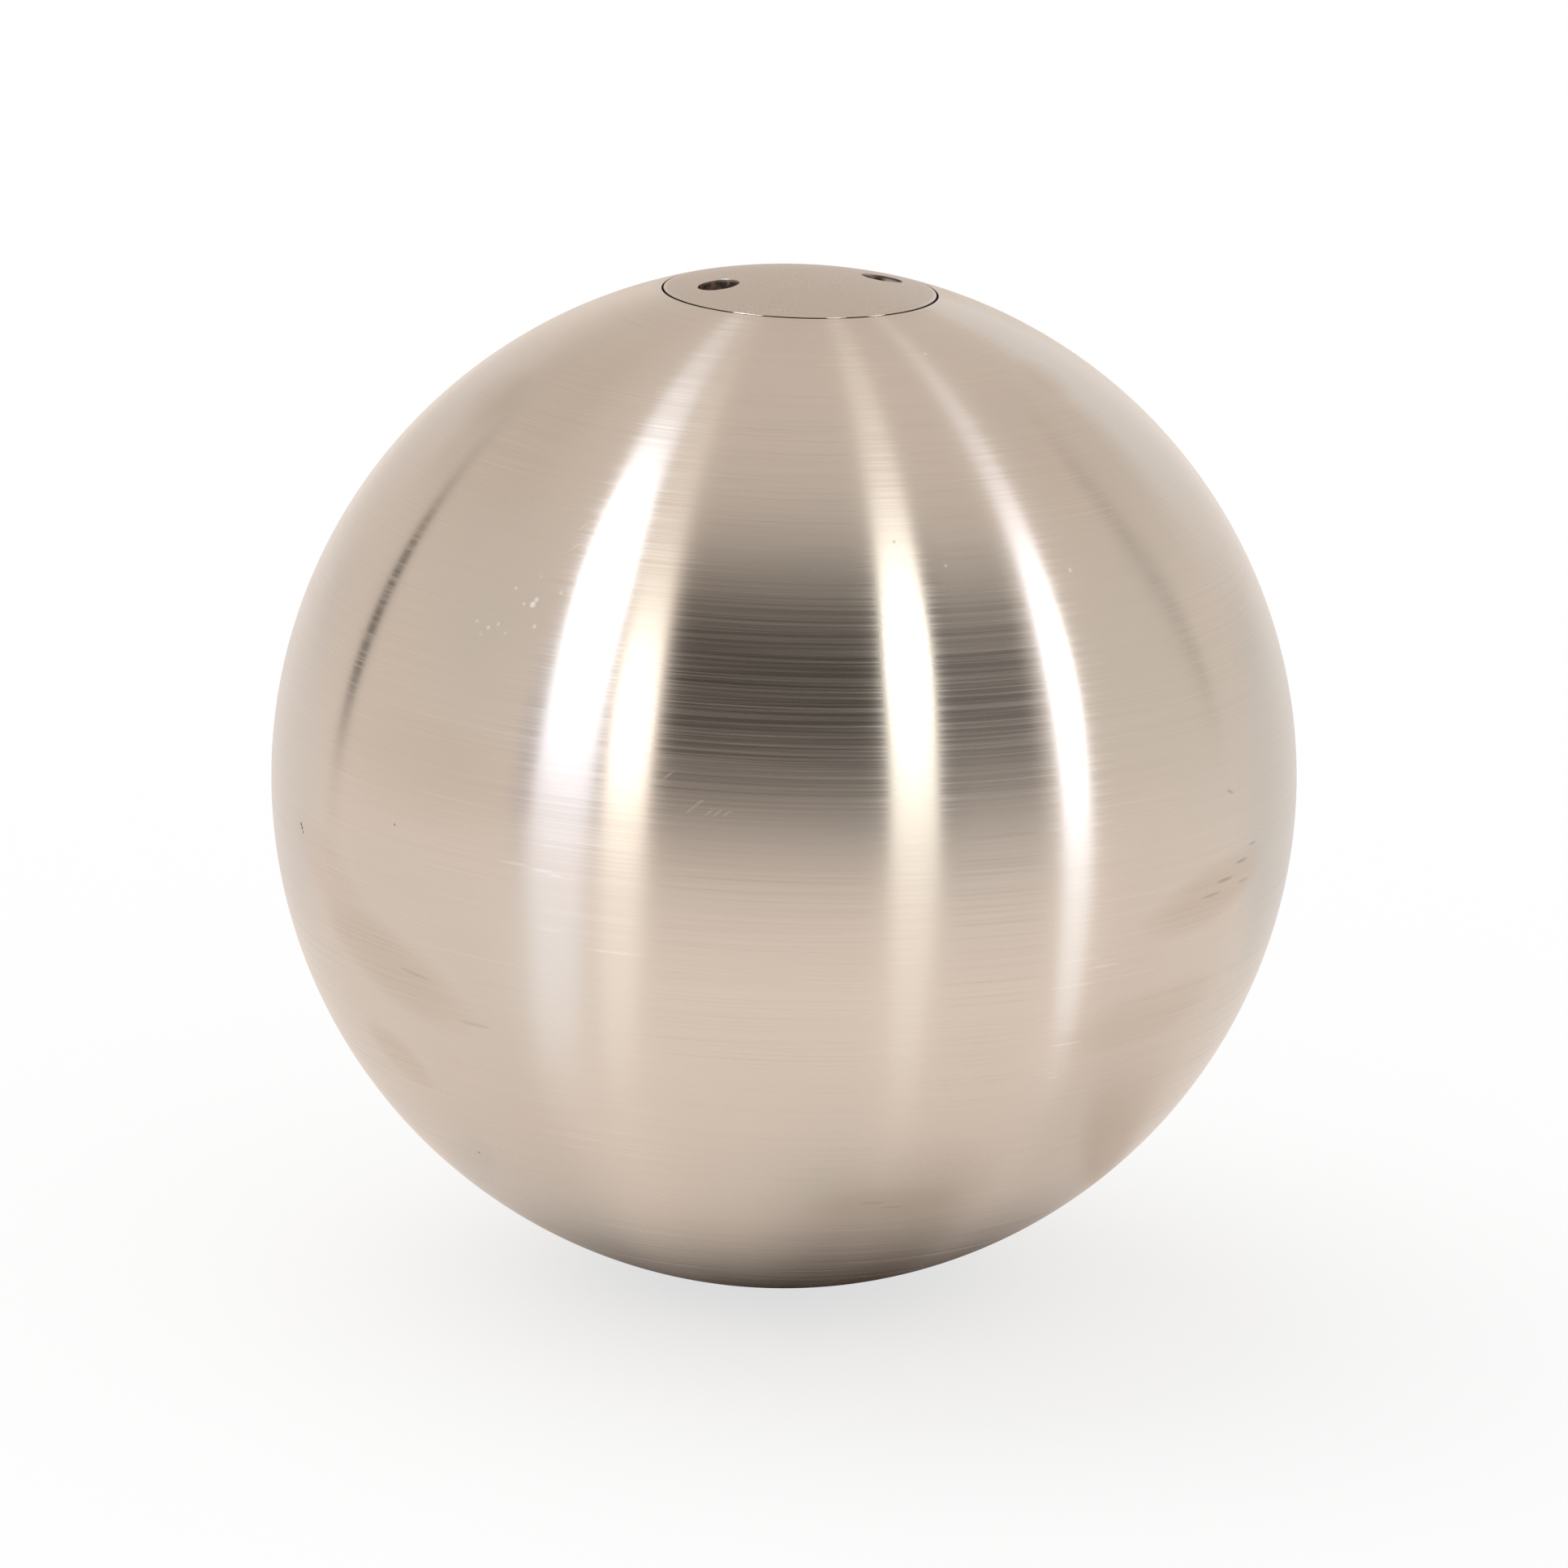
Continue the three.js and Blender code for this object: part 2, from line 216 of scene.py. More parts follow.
# Marks of use on the ball, in degrees of azimuth and latitude
SMUDGES = (
    # azimuth, latitude, half width, half height, drift down to the right, strength
    (-49, -13, 11, 4.4, 0.32, 0.75),
    (-52.5, -25.5, 5, 3, 0.3, 0.7),
    (-60, -5, 8, 4, 0.4, 0.35),
    (-44, 10, 16, 5, 0, 0.4),
    (55, -3, 10, 3, -0.15, 0.9),
    (46, -16, 12, 3, -0.1, 0.5),
    (16.5, -39.5, 10, 2.8, 0, 0.4),
    (66, 59, 6, 3, 0, 0.5),
    (-68, 52, 8, 4, 0, 0.5),
    (128, 8, 12, 4, 0.1, 0.7),
    (-140, 24, 10, 3, 0, 0.6),
    (156, -22, 13, 3.6, -0.12, 0.45),
    (-166, -6, 8, 3, 0.2, 0.35),
)
STREAKS_OF_DIRT = (
    # azimuth, latitude, half width, half height, drift down to the right, strength
    (57.2, -2.0, 1.6, 0.2, 0, 0.3),
    (60.8, -0.6, 1.3, 0.2, 0, 0.32),
    (63.4, 0.8, 0.9, 0.18, 0, 0.25),
    (54.6, -3.2, 1.8, 0.18, 0, 0.22),
    (61.5, -3.0, 1.2, 0.18, 0, 0.2),
    (58.3, 7.6, 0.7, 0.2, 0.4, 0.25),
    (-36.3, -17.6, 2.2, 0.22, 0, 0.14),
    (-44.5, -13.2, 2.4, 0.24, 0.1, 0.12),
    (14.3, 40.1, 0.25, 0.2, 0, 0.3),
    (14.5, -39.2, 1.8, 0.24, 0, 0.12),
    (17.5, -40.2, 1.6, 0.22, 0, 0.12),
    (144, -5.4, 1.1, 0.16, 0.12, 0.12),
    (147.5, -6.1, 0.7, 0.14, 0.1, 0.1),
)
SCRATCHES = (
    # azimuth, latitude, half width, half height, drift down to the right, strength
    (-29.6, 2.3, 1.6, 0.17, 0, 0.5),
    (-26.3, 2.0, 1.3, 0.17, 0, 0.7),
    (-24.6, 1.7, 0.8, 0.15, 0, 0.6),
    (-17.6, -5.9, 2.8, 0.15, 0, 0.6),
    (-25.2, -4.4, 1.6, 0.14, 0, 0.35),
    (-19, 5.6, 4, 0.14, 0, 0.3),
    (34.6, -7.2, 2.6, 0.15, 0, 0.4),
    (38.2, -8.3, 1.8, 0.16, 0, 0.5),
    (33.6, -10.1, 3.2, 0.14, 0, 0.35),
    (34.6, -15.3, 1.4, 0.14, 0, 0.4),
    (34.8, -17.3, 2.0, 0.15, 0, 0.5),
    (34.2, -21.6, 0.8, 0.15, 0, 0.4),
    (-110, 12, 3, 0.15, 0, 0.4),
    (98, -14, 2.5, 0.15, 0, 0.4),
)
DARK_SPOTS = (
    # azimuth, latitude, radius, strength
    (-66.6, -1.4, 0.32, 1.0),
    (-66.35, -1.75, 0.32, 1.0),
    (-66.0, -2.15, 0.26, 0.8),
    (-46.6, 3.3, 0.2, 0.6),
    (-45.3, -38.3, 0.26, 0.6),
    (102, 31, 0.3, 0.7),
    (-158, -12, 0.3, 0.7),
)
BRIGHT_SPOTS = (
    # azimuth, latitude, radius, strength
    (-33.3, 29.9, 0.5, 0.6),
    (-33.0, 30.5, 0.4, 0.45),
    (-34.6, 29.8, 0.3, 0.3),
    (-36.6, 31.3, 0.3, 0.3),
    (-33.5, 33.1, 0.26, 0.2),
    (-29.9, 31.7, 0.3, 0.3),
    (-32.1, 27.6, 0.34, 0.35),
    (-35.9, 26.3, 0.26, 0.25),
    (-37.3, 27.1, 0.3, 0.3),
    (-38.6, 26.5, 0.34, 0.35),
    (-39.4, 25.6, 0.26, 0.2),
    (-40.6, 26.9, 0.3, 0.25),
    (39.5, 35.2, 0.34, 0.45),
    (21.0, 37.1, 0.28, 0.3),
    (36.6, 66.2, 0.22, 0.4),
    (112, -6, 0.26, 0.3),
)
STROKES = (
    # azimuth, latitude, half width, half height, drift down to the right
    (-30.3, 37.0, 0.75, 0.16, -0.75),
    (-30.1, 39.6, 0.65, 0.15, -0.75),
    (-9.9, 10.4, 0.55, 0.13, -0.8),
    (-9.1, 11.1, 0.6, 0.13, -0.8),
    (-7.9, 10.2, 0.5, 0.13, -0.8),
    (-7.0, 10.2, 0.5, 0.12, -0.8),
    (-6.0, 10.2, 0.45, 0.12, -0.8),
    (-12.6, 13.8, 0.6, 0.13, -0.8),
)

# Where the painted shade round the plug's rim starts lower, so that the lamps' glints on its edge show, in
# degrees of azimuth
RIM_GLINT_GAPS = ((-28, -15.5), (11.8, 19.4), (30, 38))
RIM_GLINT_BLUR = 1


# Settings


def length_setting(name, description, default):
    """A setting that holds a length."""
    return FloatProperty(name=name, description=description, default=default, unit="LENGTH")


def angle_setting(name, description, degrees):
    """A setting that holds an angle."""
    return FloatProperty(name=name, description=description, default=math.radians(degrees), subtype="ANGLE")


def share_setting(name, description, default):
    """A setting that holds a share from 0 to 1."""
    return FloatProperty(name=name, description=description, default=default, subtype="FACTOR", min=0, max=1)


def colour_setting(name, description, default):
    """A setting that holds a colour."""
    return FloatVectorProperty(
        name=name, description=description, default=default, subtype="COLOR", min=0, max=1
    )


class ShellSettings(bpy.types.PropertyGroup):
    """The ball, its seat for the plug and its steel."""

    segments: IntProperty(name="Segments", description="Facets round the axis", default=240, min=24)
    head_clearance: length_setting("Head Clearance", "Gap round the plug's head", 0.22 * MM)
    edge_break: length_setting("Edge Break", "Rounding of the seat's edge", 0.06 * MM)
    fill_gap: length_setting("Fill Gap", "Gap round the filling, the ring and the pellets", 0.3 * MM)
    boss_wall: length_setting("Boss Wall", "Wall round the threaded hole", 5.4 * MM)
    boss_runout: length_setting("Boss Runout", "Thread left below the seated plug", 1 * MM)
    mouth_chamfer: length_setting("Mouth Chamfer", "Chamfer of the threaded hole at the seat", 0.4 * MM)
    steel: colour_setting("Steel", "Colour of the brushed stainless steel", (0.66, 0.6, 0.545))


class PlugSettings(bpy.types.PropertyGroup):
    """The screw plug, its spanner holes and its thread."""

    crown_radius: length_setting("Crown Radius", "Radius of the head's crown", 67 * MM)
    relief_radius: length_setting("Relief Radius", "Radius of the groove that holds the washer", 12.15 * MM)
    relief_height: length_setting("Relief Height", "Height of the groove that holds the washer", 1.6 * MM)
    edge_break: length_setting("Edge Break", "Rounding of the head's edge", 0.12 * MM)
    pin_hole: length_setting("Pin Hole", "Diameter of the spanner holes", 5 * MM)
    pin_pitch: length_setting("Pin Pitch", "Distance between the spanner holes", 21 * MM)
    pin_depth: length_setting("Pin Depth", "Depth of the spanner holes below the crown", 5.5 * MM)
    pin_deburr: length_setting("Pin Deburr", "Width of the spanner holes' deburred edge", 0.15 * MM)
    pin_angle: angle_setting("Pin Angle", "Angle of the line through the holes when the plug is tight", 21)
    thread_pitch: length_setting("Thread Pitch", "Rise of the right-hand thread in one turn", 2 * MM)
    thread_root: length_setting("Thread Root", "Radius of the shank at the bottom of its thread", 12.35 * MM)
    thread_depth: length_setting("Thread Depth", "Height of the thread above the shank", 1 * MM)
    thread_clearance: length_setting("Thread Clearance", "Radial play between the two threads", 0.25 * MM)
    steel: colour_setting("Steel", "Colour of the turned plug", (0.6, 0.545, 0.495))


class InsideSettings(bpy.types.PropertyGroup):
    """The washer, the ring at the weld, the pad and the pellets."""

    washer_hole: length_setting("Washer Hole", "Radius of the hole in the washer", 12.55 * MM)
    ring_thickness: length_setting("Ring Thickness", "Radial thickness of the backing ring", 3 * MM)
    pad_edge: length_setting("Pad Edge", "Rounding of the felt pad's edge", 0.6 * MM)
    dent_depth: length_setting("Dent Depth", "Unevenness of the lead pellets", 0.06 * MM)
    felt: colour_setting("Felt", "Colour of the wool felt", (0.3, 0.27, 0.23))
    rubber: colour_setting("Rubber", "Colour of the washer", (0.02, 0.02, 0.019))


class StudioSettings(bpy.types.PropertyGroup):
    """The camera, the floor and the light."""

    distance: length_setting("Distance", "From the camera to the ball's centre", 1.0)
    elevation: angle_setting("Elevation", "Angle at which the camera looks down", 14.48)
    lean: angle_setting("Lean", "How far the ball's axis leans to the right in the picture", 1.9)
    lens: FloatProperty(name="Lens", description="Focal length in millimetres", default=187.97)
    framing: FloatProperty(
        name="Framing", description="Vertical shift of the camera's frame", default=-0.0053, precision=4
    )
    floor_size: length_setting("Floor Size", "Width of the floor", 8.0)
    floor: colour_setting("Floor", "Colour of the floor", (0.98, 0.98, 0.98))
    floor_in_steel: colour_setting("Floor in Steel", "The floor as the steel shows it", (1.0, 0.91, 0.84))
    # The ball's painted shadow on the floor, which only the steel shows
    floor_painted_shadow: colour_setting("Floor Contact", "The same under the ball", (0.035, 0.024, 0.016))
    floor_glow: share_setting("Floor Glow", "Share of the floor's white that no shadow darkens", 0.7)
    floor_glow_in_steel: share_setting("Floor Glow in Steel", "The same as the steel shows the floor", 0.6)
    sky: colour_setting("Sky", "Colour of the plain light", (1, 1, 1))
    sky_level: FloatProperty(name="Sky Level", description="Strength of the plain light", default=0.8, min=0)
    key_level: FloatProperty(name="Key Level", description="Strength of the soft sun", default=0.8, min=0)
    wall: colour_setting("Wall", "Colour of the walls as the steel shows them", (0.88, 0.79, 0.71))


# Meshes


def new_piece(name, bm, material):
    """A finished object at the origin, shaded smooth up to the sharp angle, in the scene's collection."""
    bmesh.ops.recalc_face_normals(bm, faces=bm.faces)
    for face in bm.faces:
        face.smooth = True
    for edge in bm.edges:
        edge.smooth = not edge.is_manifold or edge.calc_face_angle(0) < SHARP_ANGLE
    mesh = bpy.data.meshes.new(name)
    bm.to_mesh(mesh)
    bm.free()
    mesh.materials.append(material)
    piece = bpy.data.objects.new(name, mesh)
    bpy.context.scene.collection.objects.link(piece)
    return piece


class Outline:
    """Half of a turned section in the XZ plane, drawn from point to point."""

    def __init__(self, radius, height):
        self.bm = bmesh.new()
        self.tip = self.bm.verts.new((radius, 0, height))

    def line(self, radius, height):
        """A straight stretch to a radius and height."""
        end = self.bm.verts.new((radius, 0, height))
        self.bm.edges.new((self.tip, end))
        self.tip = end

    def arc(self, angle, steps, centre_radius=0.0, centre_height=0.0):
        """An arc about a centre. A positive angle turns from +Z towards +X."""
        swept = bmesh.ops.spin(
            self.bm,
            geom=[self.tip],
            cent=(centre_radius, 0, centre_height),
            axis=(0, 1, 0),
            angle=angle,
            steps=steps,
        )
        self.tip = next(item for item in swept["geom_last"] if isinstance(item, bmesh.types.BMVert))

    def close(self):
        """Joins the outline's end to its start."""
        self.bm.verts.ensure_lookup_table()
        self.bm.edges.new((self.tip, self.bm.verts[0]))

    def turned(self, segments):
        """Spins the section once round the Z axis and gives the closed bmesh."""
        bmesh.ops.spin(
            self.bm,
            geom=self.bm.verts[:] + self.bm.edges[:],
            cent=(0, 0, 0),
            axis=(0, 0, 1),
            angle=FULL_TURN,
            steps=segments,
            use_merge=True,
        )
        bmesh.ops.remove_doubles(self.bm, verts=self.bm.verts, dist=MERGE_DISTANCE)
        bmesh.ops.recalc_face_normals(self.bm, faces=self.bm.faces)
        return self.bm


def height_on_sphere(sphere_radius, radius):
    """The height above a sphere's centre at a distance from its axis."""
    return math.sqrt(sphere_radius**2 - radius**2)


def polar(sphere_radius, radius):
    """The angle from the axis at which a sphere has a radius about it."""
    return math.asin(radius / sphere_radius)


def combined(first, second, operation):
    """A closed bmesh less, joined to or kept within another. Both are used up."""
    meshes = []
    objects = []
    for number, bm in enumerate((first, second)):
        mesh = bpy.data.meshes.new(f"blank_{number}")
        bm.to_mesh(mesh)
        bm.free()
        blank = bpy.data.objects.new(mesh.name, mesh)
        bpy.context.scene.collection.objects.link(blank)
        meshes.append(mesh)
        objects.append(blank)
    modifier = objects[0].modifiers.new("cut", "BOOLEAN")
    modifier.object = objects[1]
    modifier.operation = operation
    modifier.solver = "MANIFOLD"
    evaluated = objects[0].evaluated_get(bpy.context.evaluated_depsgraph_get())
    result = bmesh.new()
    result.from_mesh(evaluated.to_mesh())
    evaluated.to_mesh_clear()
    for blank in objects:
        bpy.data.objects.remove(blank)
    for mesh in meshes:
        bpy.data.meshes.remove(mesh)
    return result


def merged(first, second):
    """Adds the second bmesh's faces to the first as they are, and uses the second up."""
    mesh = bpy.data.meshes.new("merge")
    second.to_mesh(mesh)
    second.free()
    first.from_mesh(mesh)
    bpy.data.meshes.remove(mesh)
    return first


def thread_ridge(root, crest, high, phase):
    """A closed right-hand ridge from below the shank's end to above a height, sunk a little into its wall."""
    plug = bpy.context.scene.shot_plug
    outwards = 1 if crest > root else -1
    foot = root - outwards * THREAD_SINK
    crest_half = plug.thread_pitch * THREAD_CREST_SHARE / 2
    foot_half = crest_half + abs(crest - foot) * math.tan(THREAD_FLANK_ANGLE)
    start = SHANK_END_Z + (phase - THREAD_LEAD_IN) * plug.thread_pitch
    turns = math.ceil((high - start) / plug.thread_pitch) + 1
    bm = bmesh.new()
    corners = ((foot, -foot_half), (crest, -crest_half), (crest, crest_half), (foot, foot_half))
    face = bm.faces.new([bm.verts.new((radius, 0, start + height)) for radius, height in corners])
    steps = turns * THREAD_SEGMENTS
    bmesh.ops.spin(
        bm,
        geom=face.verts[:] + face.edges[:],
        cent=(0, 0, 0),
        axis=(0, 0, 1),
        dvec=(0, 0, plug.thread_pitch / THREAD_SEGMENTS),
        angle=FULL_TURN * turns,
        steps=steps,
    )
    bmesh.ops.holes_fill(bm, edges=[edge for edge in bm.edges if edge.is_boundary])
    bmesh.ops.recalc_face_normals(bm, faces=bm.faces)
    return bm


# Pieces


def welded_shell():
    """The ball's steel, welded and polished, with the seat, the threaded boss and the ring's rebate."""
    shell = bpy.context.scene.shot_shell
    plug = bpy.context.scene.shot_plug
    edge = shell.edge_break
    seat_radius = HEAD_RADIUS + shell.head_clearance
    inner_radius = CORE_RADIUS + shell.fill_gap
    bore = plug.thread_root + plug.thread_depth + plug.thread_clearance
    boss_radius = bore + shell.boss_wall
    boss_end = SHANK_END_Z - shell.boss_runout
    rebate_radius = RING_RADIUS + shell.fill_gap
    rebate_half = RING_HALF_HEIGHT + shell.fill_gap
    rounding_height = height_on_sphere(BALL_RADIUS - edge, seat_radius + edge)
    rim = polar(BALL_RADIUS - edge, seat_radius + edge)
    boss_angle = polar(inner_radius, boss_radius)
    rebate_angle = math.acos(rebate_half / inner_radius)

    outline = Outline(0, -BALL_RADIUS)
    outline.arc(rim - math.pi, SURFACE_STEPS)
    outline.arc(-rim - math.pi / 2, EDGE_STEPS, seat_radius + edge, rounding_height)
    outline.line(seat_radius, SEAT_Z + SEAT_CORNER)
    outline.arc(math.pi / 2, CORNER_STEPS, seat_radius - SEAT_CORNER, SEAT_Z + SEAT_CORNER)
    outline.line(bore + shell.mouth_chamfer, SEAT_Z)
    outline.line(bore, SEAT_Z - shell.mouth_chamfer)
    outline.line(bore, boss_end)
    outline.line(boss_radius, boss_end)
    outline.line(boss_radius, height_on_sphere(inner_radius, boss_radius))
    outline.arc(rebate_angle - boss_angle, INSIDE_STEPS)
    outline.line(rebate_radius, rebate_half)
    outline.line(rebate_radius, -rebate_half)
    outline.line(height_on_sphere(inner_radius, rebate_half), -rebate_half)
    outline.arc(rebate_angle, INSIDE_STEPS)
    bm = outline.turned(shell.segments)

    minor = plug.thread_root + plug.thread_clearance
    ridge = thread_ridge(bore, minor, SEAT_Z, phase=0.5)
    mouth_low = SEAT_Z - shell.mouth_chamfer - (bore - minor)
    band = Outline(minor - THREAD_SINK, boss_end)
    band.line(bore + 2 * THREAD_SINK, boss_end)
    band.line(bore + 2 * THREAD_SINK, SEAT_Z - shell.mouth_chamfer + 2 * THREAD_SINK)
    band.line(minor - THREAD_SINK, mouth_low - THREAD_SINK)
    band.close()
    return merged(bm, combined(ridge, band.turned(THREAD_SEGMENTS), "INTERSECT"))


def screw_plug():
    """The plug: crowned head, relief groove, threaded shank and the two blind spanner holes."""
    shell = bpy.context.scene.shot_shell
    plug = bpy.context.scene.shot_plug
    edge = plug.edge_break
    crown_centre = CROWN_TOP_Z - plug.crown_radius
    rim = polar(plug.crown_radius - edge, HEAD_RADIUS - edge)
    rounding_height = crown_centre + height_on_sphere(plug.crown_radius - edge, HEAD_RADIUS - edge)
    groove_low = UNDERSIDE_Z - plug.relief_height
    crest = plug.thread_root + plug.thread_depth

    outline = Outline(0, SHANK_END_Z)
    outline.line(plug.thread_root - edge, SHANK_END_Z)
    outline.line(plug.thread_root, SHANK_END_Z + edge)
    outline.line(plug.thread_root, groove_low)
    outline.line(plug.relief_radius, groove_low)
    outline.line(plug.relief_radius, UNDERSIDE_Z)
    outline.line(HEAD_RADIUS - edge, UNDERSIDE_Z)
    outline.arc(-math.pi / 2, EDGE_STEPS, HEAD_RADIUS - edge, UNDERSIDE_Z + edge)
    outline.line(HEAD_RADIUS, rounding_height)
    outline.arc(rim - math.pi / 2, EDGE_STEPS, HEAD_RADIUS - edge, rounding_height)
    outline.arc(-rim, CROWN_STEPS, 0, crown_centre)
    bm = outline.turned(shell.segments)
    for side in (0, math.pi):
        turn = Matrix.Rotation(plug.pin_angle + side, 3, "Z")
        for cutter in (pin_drill(), pin_countersink()):
            bmesh.ops.rotate(cutter, verts=cutter.verts, cent=(0, 0, 0), matrix=turn)
            bm = combined(bm, cutter, "DIFFERENCE")

    ridge = thread_ridge(plug.thread_root, crest, groove_low, phase=0)
    blank = Outline(0, SHANK_END_Z)
    blank.line(plug.thread_root - edge, SHANK_END_Z)
    blank.line(crest + THREAD_SINK, SHANK_END_Z + plug.thread_depth + edge + THREAD_SINK)
    blank.line(crest + THREAD_SINK, groove_low - THREAD_SINK)
    blank.line(crest, groove_low)
    blank.line(0, groove_low)
    return merged(bm, combined(ridge, blank.turned(THREAD_SEGMENTS), "INTERSECT"))


def pin_drill():
    """What the drill takes out of the plug for one spanner hole, before it is turned to its place."""
    plug = bpy.context.scene.shot_plug
    radius = plug.pin_hole / 2
    bottom = crown_height(plug.pin_pitch / 2) - plug.pin_depth
    outline = Outline(0, bottom)
    outline.line(radius - PIN_CORNER, bottom)
    outline.arc(-math.pi / 2, CORNER_STEPS, radius - PIN_CORNER, bottom + PIN_CORNER)
    outline.line(radius, BALL_RADIUS + PIN_OVERRUN)
    outline.line(0, BALL_RADIUS + PIN_OVERRUN)
    bm = outline.turned(PIN_SEGMENTS)
    bmesh.ops.translate(bm, verts=bm.verts, vec=(plug.pin_pitch / 2, 0, 0))
    return bm


def pin_countersink():
    """What the deburring cutter takes off the edge of one spanner hole, square to the crown."""
    plug = bpy.context.scene.shot_plug
    width = plug.pin_deburr
    mouth = plug.pin_hole / 2 + width
    reach = 2 * width
    outline = Outline(0, -reach)
    outline.line(mouth - reach, -reach)
    outline.line(mouth + reach, reach)
    outline.line(0, reach)
    bm = outline.turned(PIN_SEGMENTS)
    tilt = polar(plug.crown_radius, plug.pin_pitch / 2)
    bmesh.ops.rotate(bm, verts=bm.verts, cent=(0, 0, 0), matrix=Matrix.Rotation(tilt, 3, "Y"))
    bmesh.ops.translate(bm, verts=bm.verts, vec=(plug.pin_pitch / 2, 0, crown_height(plug.pin_pitch / 2)))
    return bm


def crown_height(radius):
    """The height of the plug's crown at a distance from its axis."""
    crown_radius = bpy.context.scene.shot_plug.crown_radius
    return CROWN_TOP_Z - crown_radius + height_on_sphere(crown_radius, radius)


def sealing_washer():
    """The flat rubber washer, with slightly rounded edges, captive in the plug's groove."""
    hole = bpy.context.scene.shot_inside.washer_hole
    rounding = WASHER_ROUNDING
    outline = Outline(hole + rounding, SEAT_Z)
    outline.line(WASHER_RADIUS - rounding, SEAT_Z)
    outline.arc(-math.pi / 2, CORNER_STEPS, WASHER_RADIUS - rounding, SEAT_Z + rounding)
    outline.line(WASHER_RADIUS, UNDERSIDE_Z - rounding)
    outline.arc(-math.pi / 2, CORNER_STEPS, WASHER_RADIUS - rounding, UNDERSIDE_Z - rounding)
    outline.line(hole + rounding, UNDERSIDE_Z)
    outline.arc(-math.pi / 2, CORNER_STEPS, hole + rounding, UNDERSIDE_Z - rounding)
    outline.line(hole, SEAT_Z + rounding)
    outline.arc(-math.pi / 2, CORNER_STEPS, hole + rounding, SEAT_Z + rounding)
    return outline.turned(SMALL_SEGMENTS)


def backing_ring():
    """The plain ring behind the weld, with broken edges."""
    inside = bpy.context.scene.shot_inside
    edge = bpy.context.scene.shot_shell.edge_break
    inner = RING_RADIUS - inside.ring_thickness
    outline = Outline(inner + edge, -RING_HALF_HEIGHT)
    outline.line(RING_RADIUS - edge, -RING_HALF_HEIGHT)
    outline.line(RING_RADIUS, edge - RING_HALF_HEIGHT)
    outline.line(RING_RADIUS, RING_HALF_HEIGHT - edge)
    outline.line(RING_RADIUS - edge, RING_HALF_HEIGHT)
    outline.line(inner + edge, RING_HALF_HEIGHT)
    outline.line(inner, RING_HALF_HEIGHT - edge)
    outline.line(inner, edge - RING_HALF_HEIGHT)
    outline.close()
    return outline.turned(SMALL_SEGMENTS)


def filling():
    """The lead shot in resin, with the groove for the ring, the boss's recess and the pellets' well."""
    shell = bpy.context.scene.shot_shell
    plug = bpy.context.scene.shot_plug
    inside = bpy.context.scene.shot_inside
    groove_radius = RING_RADIUS - inside.ring_thickness - shell.fill_gap
    groove_half = RING_HALF_HEIGHT + shell.fill_gap
    groove_angle = math.acos(groove_half / CORE_RADIUS)
    bore = plug.thread_root + plug.thread_depth + plug.thread_clearance
    recess_radius = bore + shell.boss_wall + shell.fill_gap
    recess_z = SHANK_END_Z - shell.boss_runout - shell.fill_gap
    recess_angle = polar(CORE_RADIUS, recess_radius)
    well_radius = PAD_HIGH.x + shell.fill_gap
    well_floor = min(pellet_place(name)[0].z - pellet_place(name)[1] for name in PELLETS) - shell.fill_gap

    outline = Outline(0, -CORE_RADIUS)
    outline.arc(-groove_angle, INSIDE_STEPS)
    outline.line(groove_radius, -groove_half)
    outline.line(groove_radius, groove_half)
    outline.line(height_on_sphere(CORE_RADIUS, groove_half), groove_half)
    outline.arc(recess_angle - groove_angle, INSIDE_STEPS)
    outline.line(recess_radius, recess_z)
    outline.line(well_radius + WELL_LIP, recess_z)
    outline.arc(-math.pi / 2, CORNER_STEPS, well_radius + WELL_LIP, recess_z - WELL_LIP)
    outline.line(well_radius, well_floor + WELL_LIP)
    outline.arc(math.pi / 2, CORNER_STEPS, well_radius - WELL_LIP, well_floor + WELL_LIP)
    outline.line(0, well_floor)
    return outline.turned(SMALL_SEGMENTS)


def felt_pad():
    """The flat pad that keeps the pellets from rattling, with soft edges."""
    edge = bpy.context.scene.shot_inside.pad_edge
    outline = Outline(0, PAD_LOW.z)
    outline.line(PAD_HIGH.x - edge, PAD_LOW.z)
    outline.arc(-math.pi / 2, CORNER_STEPS, PAD_HIGH.x - edge, PAD_LOW.z + edge)
    outline.line(PAD_HIGH.x, PAD_HIGH.z - edge)
    outline.arc(-math.pi / 2, CORNER_STEPS, PAD_HIGH.x - edge, PAD_HIGH.z - edge)
    outline.line(0, PAD_HIGH.z)
    return outline.turned(SMALL_SEGMENTS)


def pellet_place(name):
    """The centre and radius of a pellet's solid."""
    low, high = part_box(name)
    centre = (low + high) / 2
    radius = max((vertex.co - centre).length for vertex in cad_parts[name].data.vertices)
    return centre, radius


def cast_pellet(name, number):
    """A cast lead pellet, a little uneven from its mould and its neighbours."""
    centre, radius = pellet_place(name)
    depth = bpy.context.scene.shot_inside.dent_depth
    bm = bmesh.new()
    bmesh.ops.create_icosphere(bm, subdivisions=PELLET_SUBDIVISIONS, radius=radius)
    seed = Vector((number, 0, 0)) * PELLET_SEED_STEP
    for vertex in bm.verts:
        outwards = vertex.co.normalized()
        dent = (1 + noise.noise(outwards * DENTS_ACROSS_PELLET + seed)) / 2
        vertex.co = outwards * (radius - depth * dent)
    bmesh.ops.translate(bm, verts=bm.verts, vec=centre)
    return bm


# Finishes


